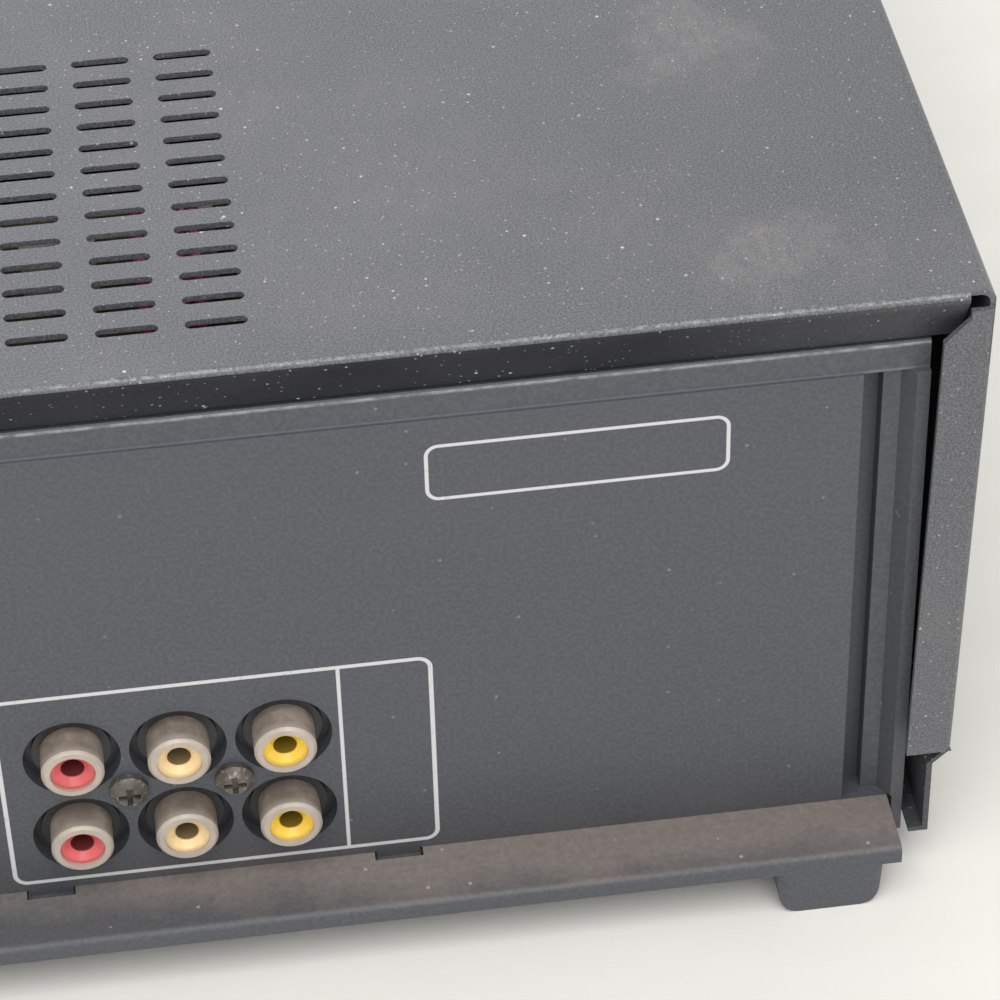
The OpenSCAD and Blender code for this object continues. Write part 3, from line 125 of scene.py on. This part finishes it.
class Finish:
    """One procedural material: a Principled shader with its colour, roughness and bump nodes."""

    def __init__(self, name, rough=0.5, metal=0.0, specular=0.5, coat=0.0):
        self.mat = bpy.data.materials.new(name)
        self.mat.use_nodes = True
        self.tree = self.mat.node_tree
        self.tree.nodes.clear()
        self.shader = self.tree.nodes.new("ShaderNodeBsdfPrincipled")
        out = self.tree.nodes.new("ShaderNodeOutputMaterial")
        self.tree.links.new(self.shader.outputs["BSDF"], out.inputs["Surface"])
        self.shader.inputs["Metallic"].default_value = metal
        self.shader.inputs["Roughness"].default_value = rough
        self.shader.inputs["Specular IOR Level"].default_value = specular
        self.shader.inputs["Coat Weight"].default_value = coat
        self.shader.inputs["Coat Roughness"].default_value = 0.12
        self.where = self.tree.nodes.new("ShaderNodeTexCoord").outputs["Object"]
        self.normal = None
        self.axes = None

    def put(self, socket, value):
        if isinstance(value, bpy.types.NodeSocket):
            self.tree.links.new(value, socket)
        elif isinstance(value, tuple) and len(value) == 3 and socket.type == "RGBA":
            socket.default_value = (*value, 1)
        else:
            socket.default_value = value

    def math(self, op, a, b=0.0):
        node = self.tree.nodes.new("ShaderNodeMath")
        node.operation = op
        self.put(node.inputs[0], a)
        self.put(node.inputs[1], b)
        return node.outputs[0]

    def times(self, first, *others):
        """Product of several masks."""
        for other in others:
            first = self.math("MULTIPLY", first, other)
        return first

    def above(self, value, limit):
        return self.math("GREATER_THAN", value, limit)

    def off(self, value, centre):
        """Distance of a value from a centre."""
        return self.math("ABSOLUTE", self.math("SUBTRACT", value, centre))

    def stripes(self, axis, per_metre):
        return self.math("ABSOLUTE", self.math("SINE", self.times(self.axis(axis), per_metre)))

    def vector(self, op, a, b):
        node = self.tree.nodes.new("ShaderNodeVectorMath")
        node.operation = op
        self.put(node.inputs[0], a)
        self.put(node.inputs[1], b)
        return node.outputs[0]

    def axis(self, i):
        if self.axes is None:
            node = self.tree.nodes.new("ShaderNodeSeparateXYZ")
            self.put(node.inputs[0], self.where)
            self.axes = node.outputs
        return self.axes[i]

    def facing(self, i):
        """The surface normal's component along one axis."""
        geo = self.tree.nodes.new("ShaderNodeNewGeometry")
        node = self.tree.nodes.new("ShaderNodeSeparateXYZ")
        self.put(node.inputs[0], geo.outputs["True Normal"])
        return node.outputs[i]

    def noise(self, scale, detail=3.0, rough=0.55, stretch=None):
        node = self.tree.nodes.new("ShaderNodeTexNoise")
        node.inputs["Scale"].default_value = scale
        node.inputs["Detail"].default_value = detail
        node.inputs["Roughness"].default_value = rough
        place = self.where if stretch is None else self.vector("MULTIPLY", self.where, stretch)
        self.put(node.inputs["Vector"], place)
        return node.outputs["Fac"]

    def cells(self, scale, jitter=1.0):
        node = self.tree.nodes.new("ShaderNodeTexVoronoi")
        node.inputs["Scale"].default_value = scale
        node.inputs["Randomness"].default_value = jitter
        self.put(node.inputs["Vector"], self.where)
        return node

    def ramp(self, value, low, high, out_low=0.0, out_high=1.0, smooth=False):
        node = self.tree.nodes.new("ShaderNodeMapRange")
        node.interpolation_type = "SMOOTHSTEP" if smooth else "LINEAR"
        for name, v in (("Value", value), ("From Min", low), ("From Max", high),
                        ("To Min", out_low), ("To Max", out_high)):
            self.put(node.inputs[name], v)
        return node.outputs[0]

    def mix(self, factor, a, b):
        node = self.tree.nodes.new("ShaderNodeMix")
        node.data_type = "RGBA"
        self.put(node.inputs[0], factor)
        self.put(node.inputs[6], a)
        self.put(node.inputs[7], b)
        return node.outputs[2]

    def specks(self, scale, size, share):
        """Small round specks: size is a share of the cell, share is how many cells have one."""
        node = self.cells(scale)
        spot = self.ramp(node.outputs["Distance"], size, size * 0.5)
        chance = self.tree.nodes.new("ShaderNodeSeparateColor")
        self.put(chance.inputs[0], node.outputs["Color"])
        return self.times(spot, self.math("LESS_THAN", chance.outputs[0], share))

    def blob(self, centre, radii, ragged, scale):
        """A soft ragged patch round a point, 1 at its middle."""
        offset = self.vector("SUBTRACT", self.where, tuple(centre))
        scaled = self.vector("DIVIDE", offset, tuple(radii))
        node = self.tree.nodes.new("ShaderNodeVectorMath")
        node.operation = "LENGTH"
        self.put(node.inputs[0], scaled)
        wander = self.times(self.math("SUBTRACT", self.noise(scale, 5, 0.65), 0.5), ragged * 2)
        return self.ramp(self.math("ADD", node.outputs["Value"], wander), 1.0, 0.2, smooth=True)

    def bump(self, height, depth):
        node = self.tree.nodes.new("ShaderNodeBump")
        node.inputs["Distance"].default_value = depth
        self.put(node.inputs["Height"], height)
        if self.normal is not None:
            self.put(node.inputs["Normal"], self.normal)
        self.normal = node.outputs["Normal"]

    def done(self, colour, rough=None):
        self.put(self.shader.inputs["Base Color"], colour)
        if rough is not None:
            self.put(self.shader.inputs["Roughness"], rough)
        if self.normal is not None:
            self.put(self.shader.inputs["Normal"], self.normal)
        return self.mat


def shade(colour, factor):
    return tuple(min(1.0, c * factor) for c in colour)


# Finishes of the outside

def painted_sheet():
    """Fine-textured charcoal paint with dust specks, pale scuffs, a painted highlight with wear along the
    rear fold, and painted shade on the lip and on the skirt below the hem.
    """
    f = Finish("charcoal_paint")
    grain = f.noise(3400, 1)
    colour = f.mix(f.ramp(f.noise(9, 4), 0.3, 0.7), (0.070, 0.0745, 0.086), (0.086, 0.090, 0.101))
    colour = f.mix(f.ramp(grain, 0.38, 0.66, 0, 0.68), colour, (0.195, 0.200, 0.212))
    colour = f.mix(haze_mask(f), colour, (0.215, 0.207, 0.200))
    colour = f.mix(scuff_mask(f), colour, (0.34, 0.315, 0.285))
    # Painted highlight along the rear fold, broken up like worn paint.
    colour = f.mix(fold_highlight_and_wear_mask(f), colour, (0.36, 0.385, 0.42))
    lip = lip_shade_mask(f)
    skirt_shade = f.times(f.math("LESS_THAN", f.axis(2), HEM_Z), 0.55)
    # Painted shade: near-black over the lip, and at 0.55 over the skirt below the hem.
    colour = f.mix(f.math("MAXIMUM", f.times(lip, 0.93), skirt_shade), colour, (0.005, 0.0062, 0.0095))
    f.put(f.shader.inputs["Specular IOR Level"], f.ramp(lip, 0, 1, 0.5, 0.22))
    colour = scattered_dust(f, colour)
    f.bump(grain, 0.00005)
    return f.done(colour, f.ramp(f.noise(40, 4), 0.3, 0.7, 0.42, 0.52))


def haze_mask(f):
    clouds = f.ramp(f.noise(28, 6, 0.7), 0.45, 0.75, 0, 0.42)
    return f.times(clouds, f.ramp(f.noise(650, 4, 0.7, (1, 0.45, 1)), 0.35, 0.7, 0.2, 1.0))


def scuff_mask(f):
    """Two pale scuffs near the rear corner and a faint wide one beside them."""
    scuff = f.math("MAXIMUM",
        f.blob((-0.1875, 0.108, TOP_Z), (0.013, 0.015, 0.01), 1.0, 110),
        f.blob((-0.190, 0.156, TOP_Z), (0.014, 0.012, 0.01), 1.0, 100))
    faint = f.times(f.blob((-0.14, 0.157, TOP_Z), (0.024, 0.010, 0.01), 0.6, 90), 0.3)
    mottle = f.ramp(f.noise(750, 5, 0.75, (1, 0.5, 1)), 0.3, 0.75, 0.0, 0.38)
    return f.times(f.math("MAXIMUM", scuff, faint), mottle)


def fold_highlight_and_wear_mask(f):
    """Painted highlight with wear: a thin ragged pale line along the fold above the lip, by how far the
    bend faces up and back.
    """
    ragged = f.times(f.math("SUBTRACT", f.noise(1100, 4, 0.7, (1, 0.4, 1)), 0.5), 0.5)
    fold = f.times(
        f.ramp(f.math("ADD", f.facing(2), ragged), 0.60, 0.85),
        f.ramp(f.facing(2), 0.97, 0.90),
        f.ramp(f.facing(1), 0.2, 0.4),
        f.above(f.axis(2), FOLD_Z))
    return f.times(fold, f.ramp(f.noise(1300, 4, 0.7), 0.38, 0.62, 0.0, 0.9))


def lip_shade_mask(f):
    """Painted shade on the lip that is folded in over the rear panel, which faces down and away from the
    lamps; fainter toward the corner.
    """
    return f.times(
        f.ramp(f.facing(2), 0.42, 0.15),
        f.above(f.facing(1), 0.5),
        f.above(f.axis(2), LIP_Z),
        f.above(f.math("ABSOLUTE", f.facing(2)), 0.01),
        f.ramp(f.axis(0), -0.205, -0.175, 0.6, 1.0),
        f.ramp(f.noise(45, 4), 0.3, 0.7, 0.88, 1.0))


def scattered_dust(f, colour):
    dusty = f.ramp(f.noise(14, 3), 0.35, 0.65, 0.45, 1.0)
    layers = ((190, 0.055, 0.60, 1.0), (420, 0.095, 0.60, 0.8), (900, 0.17, 0.55, 0.45))
    for scale, size, share, strength in layers:
        spot = f.times(f.specks(scale, size, share), dusty, strength)
        colour = f.mix(spot, colour, (0.72, 0.71, 0.67))
    return colour


def moulded(name, colour, rough, grain=1800):
    """Spark-textured dark moulding with slight flow marks."""
    f = Finish(name, rough=rough)
    fine = f.noise(grain, 2)
    flow = f.noise(14, 4, 0.5, (1, 1, 2.2))
    tone = f.mix(f.ramp(flow, 0.3, 0.7), shade(colour, 0.93), shade(colour, 1.07))
    tone = f.mix(f.ramp(fine, 0.38, 0.68, 0, 0.5), tone, shade(colour, 1.7))
    f.bump(fine, 0.00003)
    return f, tone, f.ramp(flow, 0.3, 0.7, rough - 0.04, rough + 0.04)


def plain_moulding(name, colour, **more):
    f, tone, rough = moulded(name, colour, **more)
    return f.done(tone, rough)


def rounded_line(f, outline, radius, width):
    """Mask of a thin printed line round a rectangle on the rear panel, in x and z."""
    low, high = outline
    cx, cz = (low[0] + high[0]) / 2, (low[1] + high[1]) / 2
    hx, hz = (high[0] - low[0]) / 2 - radius, (high[1] - low[1]) / 2 - radius
    dx = f.math("SUBTRACT", f.off(f.axis(0), cx), hx)
    dz = f.math("SUBTRACT", f.off(f.axis(2), cz), hz)
    outside = f.math("SQRT", f.math("ADD", f.math("POWER", f.math("MAXIMUM", dx, 0.0), 2.0),
        f.math("POWER", f.math("MAXIMUM", dz, 0.0), 2.0)))
    inside = f.math("MINIMUM", f.math("MAXIMUM", dx, dz), 0.0)
    away = f.off(f.math("ADD", outside, inside), radius)
    return f.ramp(away, width / 2 + LINE_EDGE, width / 2 - LINE_EDGE)


def straight_line(f, x, low, high, width):
    """Mask of a thin printed upright line on the rear panel."""
    line = f.ramp(f.off(f.axis(0), x), width / 2 + LINE_EDGE, width / 2 - LINE_EDGE)
    return f.times(line, f.times(f.above(f.axis(2), low), f.math("LESS_THAN", f.axis(2), high)))


def printed_panel():
    """Rear moulding with the printed outlines, faint dust and a painted highlight with wear along the
    band's edges.
    """
    f, tone, rough = moulded("rear_moulding", (0.067, 0.0725, 0.085), rough=0.46)
    lines = f.math("MAXIMUM", rounded_line(f, JACK_OUTLINE, 0.0017, 0.0006),
        rounded_line(f, LABEL_OUTLINE, 0.0016, 0.0005))
    lines = f.math("MAXIMUM", lines,
        straight_line(f, JACK_DIVIDER_X, JACK_OUTLINE[0][1], JACK_OUTLINE[1][1], 0.0005))
    on_face = f.times(f.above(f.facing(1), 0.9), f.above(f.axis(1), PANEL_Y))
    worn = f.ramp(f.noise(1500, 3), 0.25, 0.4, 0.75, 1.0)
    tone = f.mix(f.times(f.specks(300, 0.09, 0.25), 0.35), tone, (0.4, 0.39, 0.36))
    low_dust = f.times(f.ramp(f.axis(2), 0.02, 0.0105, smooth=True), f.ramp(f.noise(90, 4), 0.3, 0.7))
    tone = f.mix(f.times(low_dust, 0.3), tone, (0.14, 0.12, 0.10))
    tone = f.mix(f.times(lines, on_face, worn), tone, PALE_INK)
    # Painted highlight along the band's edges, partly rubbed wear.
    tone = f.mix(band_edge_highlight_and_wear_mask(f), tone, (0.36, 0.40, 0.44))
    return f.done(tone, rough)


def band_edge_highlight_and_wear_mask(f):
    """Painted highlight where light catches the band's upper edge, ragged like worn paint, and a faint
    painted highlight along its lower edge.
    """
    upper = f.times(f.ramp(f.axis(2), BAND_TOP - 0.0007, BAND_TOP - 0.0004),
        f.ramp(f.noise(900, 4, 0.7, (0.5, 1, 1)), 0.35, 0.6, 0.15, 0.85))
    lower = f.ramp(f.off(f.axis(2), BAND_TOP - BAND_H + 0.0002), 0.0003, 0.0001, 0.0, 0.22)
    return f.times(f.math("MAXIMUM", upper, lower), f.above(f.axis(1), PANEL_Y))


def dusty_tray():
    """Dark moulding of the floor, whose ledge and upward faces hold brown dust."""
    f, tone, rough = moulded("dark_moulding", (0.066, 0.0715, 0.083), rough=0.5)
    ledge = f.times(f.ramp(f.facing(2), 0.5, 0.9), f.above(f.axis(1), LEDGE_Y))
    patches = f.times(f.math("SUBTRACT", f.noise(70, 5, 0.65), 0.5), 1.3)
    thick = f.math("ADD", f.ramp(f.axis(1), 0.1735, 0.166, 0.3, 0.95), patches)
    thick = f.math("ADD", thick, f.ramp(f.axis(0), -0.10, -0.14, -0.25, 0.3))
    layer = f.times(ledge, f.ramp(thick, 0.25, 0.9, 0.15, 0.95))
    fluff = f.mix(f.noise(900, 4, 0.7), (0.13, 0.105, 0.095), (0.30, 0.262, 0.242))
    tone = f.mix(layer, tone, fluff)
    tone = f.mix(f.times(f.specks(350, 0.12, 0.3), ledge), tone, (0.4, 0.36, 0.3))
    return f.done(tone, f.math("ADD", rough, f.times(layer, 0.35)))


def metal(name, colour, rough=0.35, brushed=(1, 1, 1), stain=None):
    """Bare metal with brush or turning marks, and a stain where it tarnishes."""
    f = Finish(name, rough=rough, metal=1.0)
    marks = f.noise(900, 3, 0.6, brushed)
    tone = f.mix(f.ramp(marks, 0.3, 0.7), shade(colour, 0.86), shade(colour, 1.1))
    roughness = f.ramp(marks, 0.3, 0.7, rough - 0.07, rough + 0.09)
    if stain:
        patch = f.ramp(f.noise(160, 5, 0.65), 0.42, 0.62)
        tone = f.mix(f.times(patch, 0.8), tone, stain)
        roughness = f.math("ADD", roughness, f.times(patch, 0.15))
    f.bump(marks, 0.00001)
    return f, tone, roughness


def plain_metal(name, colour, **more):
    f, tone, rough = metal(name, colour, **more)
    return f.done(tone, rough)


def jack_shell_metal():
    """Tarnished nickel with rubbed bright rims at the open end."""
    f, tone, rough = metal("jack_metal", (0.43, 0.36, 0.31), rough=0.5, stain=(0.22, 0.175, 0.14))
    f.shader.inputs["Metallic"].default_value = 0.3
    rim = f.ramp(f.axis(1), 0.1660, 0.1676)
    tone = f.mix(f.times(rim, 0.6), tone, (0.62, 0.55, 0.48))
    return f.done(tone, rough)


def jack_insert(node, colour, aged):
    """Glossy insulator, dull round its rim, with painted shade inside its centre holes."""
    f = Finish(node, rough=0.3)
    low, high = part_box(node)
    r = (high[0] - low[0]) / 2
    across = f.math("SUBTRACT", f.axis(0), low[0] + r)
    near = None
    for z in (low[2] + r, high[2] - r):
        away = f.math("SQRT", f.math("ADD", f.math("POWER", across, 2.0),
            f.math("POWER", f.math("SUBTRACT", f.axis(2), z), 2.0)))
        near = away if near is None else f.math("MINIMUM", near, away)
    tone = f.mix(f.ramp(f.noise(300, 4), 0.35, 0.65), shade(colour, 0.92), shade(colour, 1.05))
    grime = f.times(f.ramp(f.noise(900, 5, 0.7), 0.45, 0.7), aged)
    tone = f.mix(grime, tone, shade(colour, 0.5))
    rim = f.ramp(near, 0.0022, 0.0028, 0, 0.25)
    hole_shade = f.ramp(near, 0.00165, 0.0015)
    tone = f.mix(rim, tone, shade(colour, 0.55))
    # Painted shade: near-black inside the centre holes.
    tone = f.mix(hole_shade, tone, (0.006, 0.005, 0.005))
    return f.done(tone, f.ramp(f.noise(220, 4), 0.3, 0.7, 0.22, 0.42))


def gloss_plastic(name, colour, rough, aged=0.0):
    """Smooth plastic, with grime on what has aged."""
    f = Finish(name, rough=rough)
    tone = f.mix(f.ramp(f.noise(300, 4), 0.35, 0.65), shade(colour, 0.9), shade(colour, 1.06))
    if aged:
        grime = f.times(f.ramp(f.noise(900, 5, 0.7), 0.45, 0.7), aged)
        tone = f.mix(grime, tone, shade(colour, 0.5))
    f.bump(f.noise(700, 2), 0.00002)
    return f.done(tone, f.ramp(f.noise(220, 4), 0.3, 0.7, rough - 0.08, rough + 0.12))


def black_screw():
    """Blackened steel, browned, with bare edges worn by the driver."""
    f, tone, rough = metal("black_screw", (0.15, 0.135, 0.115), rough=0.48, stain=(0.06, 0.052, 0.045))
    f.shader.inputs["Metallic"].default_value = 0.45
    bare = f.ramp(f.noise(1400, 3), 0.55, 0.68, 0, 0.5)
    return f.done(f.mix(bare, tone, (0.42, 0.40, 0.37)), rough)


# Finishes of the inside

def circuit_board(name, colour, track):
    """Solder resist over faint copper tracks with drilled pads."""
    f = Finish(name, rough=0.35)
    node = f.cells(260, 0.25)
    pads = f.ramp(node.outputs["Distance"], 0.28, 0.2)
    runs = f.ramp(f.stripes(0, 900.0), 0.75, 0.9)
    lanes = f.times(runs, f.ramp(f.noise(60, 1), 0.48, 0.52))
    tone = f.mix(f.times(lanes, 0.5), colour, track)
    tone = f.mix(f.times(pads, f.ramp(f.noise(110, 2), 0.5, 0.55)), tone, (0.55, 0.55, 0.53))
    tone = f.mix(f.ramp(f.noise(25, 5), 0.45, 0.75, 0, 0.35), tone, (0.2, 0.18, 0.15))
    f.bump(lanes, 0.00003)
    return f.done(tone, f.ramp(f.noise(200, 3), 0.3, 0.7, 0.3, 0.45))


def smoked(name, colour):
    """Dark polished window with a few smears."""
    rough = 0.08
    f = Finish(name, rough=rough, coat=0.6)
    smear = f.noise(30, 4)
    tone = f.mix(f.ramp(smear, 0.3, 0.7), colour, shade(colour, 1.3))
    return f.done(tone, f.ramp(f.noise(80, 5), 0.4, 0.7, rough, rough + 0.12))


def display_glass():
    """Dark glass of the display tube, with nothing lit."""
    f = Finish("display_glass", rough=0.1, coat=0.4)
    tone = f.mix(f.ramp(f.noise(900, 2), 0.4, 0.6), (0.05, 0.07, 0.07), (0.10, 0.14, 0.13))
    return f.done(tone)


def laminations():
    """Stacked transformer sheets, varnished."""
    f = Finish("laminations", rough=0.4, metal=0.6)
    sheets = f.stripes(2, 6283.0)
    tone = f.mix(sheets, (0.06, 0.06, 0.065), (0.16, 0.155, 0.15))
    f.bump(sheets, 0.00008)
    return f.done(tone)


def coloured_wire():
    """Pink insulation, slightly uneven."""
    f = Finish("wire_pink", rough=0.4)
    tone = f.mix(f.ramp(f.noise(400, 3), 0.4, 0.6), (0.62, 0.05, 0.22), (0.75, 0.10, 0.32))
    return f.done(tone)


def rubber():
    """Matt black roller."""
    f = Finish("roller_rubber", rough=0.75)
    fine = f.noise(1500, 2)
    tone = f.mix(fine, (0.018, 0.018, 0.018), (0.035, 0.034, 0.034))
    f.bump(fine, 0.00004)
    return f.done(tone)


def finishes():
    return {
        "charcoal_paint": painted_sheet(),
        "black_screw": black_screw(),
        "dark_moulding": dusty_tray(),
        "rear_moulding": printed_panel(),
        "black_plastic": plain_moulding("black_plastic", (0.028, 0.028, 0.03), rough=0.42),
        "jack_metal": jack_shell_metal(),
        "insert_red": jack_insert("jack_inserts_red", (0.72, 0.13, 0.135), 0.2),
        "insert_cream": jack_insert("jack_inserts_cream", (0.95, 0.70, 0.36), 0.15),
        "insert_yellow": jack_insert("jack_inserts_yellow", (0.97, 0.64, 0.07), 0.1),
        "tinplate": plain_metal("tinplate", (0.62, 0.62, 0.62), stain=(0.4, 0.38, 0.35)),
        "bezel_moulding": plain_moulding("bezel_moulding", (0.055, 0.058, 0.065), rough=0.4),
        "smoked_window": smoked("smoked_window", (0.012, 0.012, 0.016)),
        "display_glass": display_glass(),
        "button_plastic": plain_moulding("button_plastic", (0.09, 0.094, 0.105), grain=2600, rough=0.38),
        "record_red": plain_moulding("record_red", (0.30, 0.03, 0.03), grain=2600, rough=0.38),
        "board_green": circuit_board("board_green", (0.025, 0.12, 0.05), (0.06, 0.26, 0.10)),
        "connector_cream": gloss_plastic("connector_cream", (0.80, 0.74, 0.58), 0.4, aged=0.2),
        "board_tan": circuit_board("board_tan", (0.36, 0.26, 0.13), (0.5, 0.36, 0.16)),
        "wire_pink": coloured_wire(),
        "laminations": laminations(),
        "bare_aluminium": plain_metal("bare_aluminium", (0.68, 0.69, 0.70), brushed=(1, 1, 20)),
        "zinc_sheet": plain_metal("zinc_sheet", (0.60, 0.61, 0.62), stain=(0.5, 0.48, 0.42)),
        "polished_drum": plain_metal("polished_drum", (0.78, 0.79, 0.80), rough=0.18, brushed=(1, 1, 60)),
        "bearing_brass": plain_metal("bearing_brass", (0.60, 0.44, 0.20), rough=0.3),
        "ground_steel": plain_metal("ground_steel", (0.60, 0.60, 0.61), rough=0.25),
        "roller_rubber": rubber(),
        "white_acetal": gloss_plastic("white_acetal", (0.80, 0.79, 0.75), 0.35),
    }


def dress():
    """Gives every CAD node its finish by the material slot that the record names."""
    made = finishes()
    slots = {part["node"]: part["material_slot"] for part in frame["record"]["subparts"]
             if "node" in part and "material_slot" in part}
    for name, obj in frame["nodes"].items():
        for slot in obj.material_slots:
            key = slot.material.name.split(".")[0] if slot.material else slots.get(name)
            slot.material = made.get(key, made.get(slots.get(name)))


# Printed function marks on the push buttons

HALF_MARK = 0.0019
PRINT_DEPTH = 0.00001


def printed_ink():
    """Pale screen print, slightly worn."""
    f = Finish("printed_ink", rough=0.55)
    worn = f.ramp(f.noise(3500, 3), 0.3, 0.42)
    return f.done(f.mix(worn, (0.32, 0.32, 0.33), PALE_INK))


def disc(radius, steps=24):
    turns = [math.tau * i / steps for i in range(steps)]
    return [(radius * math.cos(a), radius * math.sin(a)) for a in turns]


def pointer(x, way):
    """Triangle that points along X, one mark high, with its middle at x."""
    return [(x - 0.8 * way, -1), (x + 0.8 * way, 0), (x - 0.8 * way, 1)][::way]


def bar(x, z, w, h):
    return [(x - w / 2, z - h / 2), (x + w / 2, z - h / 2), (x + w / 2, z + h / 2), (x - w / 2, z + h / 2)]


def button_marks():
    """Outlines of each button's mark in units of its half height, X to the right and Z up."""
    up = [(-1.1, -0.6), (1.1, -0.6), (0, 1)]
    down = [(-1.1, 0.6), (0, -1), (1.1, 0.6)]
    return {
        "play": [pointer(0, 1)],
        "forward": [pointer(-0.8, 1), pointer(0.8, 1)],
        "rewind": [pointer(-0.8, -1), pointer(0.8, -1)],
        "stop": [bar(0, 0, 1.7, 1.7)],
        "pause": [bar(-0.5, 0, 0.5, 1.8), bar(0.5, 0, 0.5, 1.8)],
        "record": [disc(0.9)],
        "eject": [up, bar(0, -1.15, 2.2, 0.4)],
        "power": [bar(0, 0, 0.4, 2.0)],
        "channel_up": [up],
        "channel_down": [down],
    }


def flat_print(name, outlines, low, high, ink):
    """Thin printed mark in the middle of the front face of a box."""
    points, faces = [], []
    cx, cz = (low[0] + high[0]) / 2, (low[2] + high[2]) / 2
    for outline in outlines:
        first, count = len(points), len(outline)
        for y in (low[1] - PRINT_DEPTH, low[1] + PRINT_DEPTH):
            points += [(cx + x * HALF_MARK, y, cz + z * HALF_MARK) for x, z in outline]
        faces.append([first + i for i in range(count)])
        faces.append([first + count + i for i in reversed(range(count))])
        for i in range(count):
            j = (i + 1) % count
            faces.append([first + i, first + count + i, first + count + j, first + j])
    mesh = bpy.data.meshes.new(name)
    mesh.from_pydata(points, [], faces)
    mesh.materials.append(ink)
    obj = bpy.data.objects.new(name, mesh)
    bpy.context.scene.collection.objects.link(obj)
    return obj


def print_buttons():
    ink = printed_ink()
    for body, outlines in button_marks().items():
        low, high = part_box(body + "_button")
        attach(flat_print(body + "_mark", outlines, low, high, ink), body)


# Floor

def floor():
    f = Finish("pale_floor", rough=0.6, specular=0.3)
    streak = f.noise(60, 4, 0.55, (0.35, 1.0, 1.0))
    tone = f.mix(f.ramp(streak, 0.35, 0.65), (0.90, 0.885, 0.84), (0.925, 0.912, 0.87))
    f.bump(f.noise(500, 3), 0.00005)
    mat = f.done(tone)
    mesh = bpy.data.meshes.new("floor")
    half = 4.0
    corners = [(-half, -half, 0), (half, -half, 0), (half, half, 0), (-half, half, 0)]
    mesh.from_pydata(corners, [], [(0, 1, 2, 3)])
    obj = bpy.data.objects.new("floor", mesh)
    obj.data.materials.append(mat)
    bpy.context.scene.collection.objects.link(obj)


camera()
studio()
dress()
print_buttons()
floor()
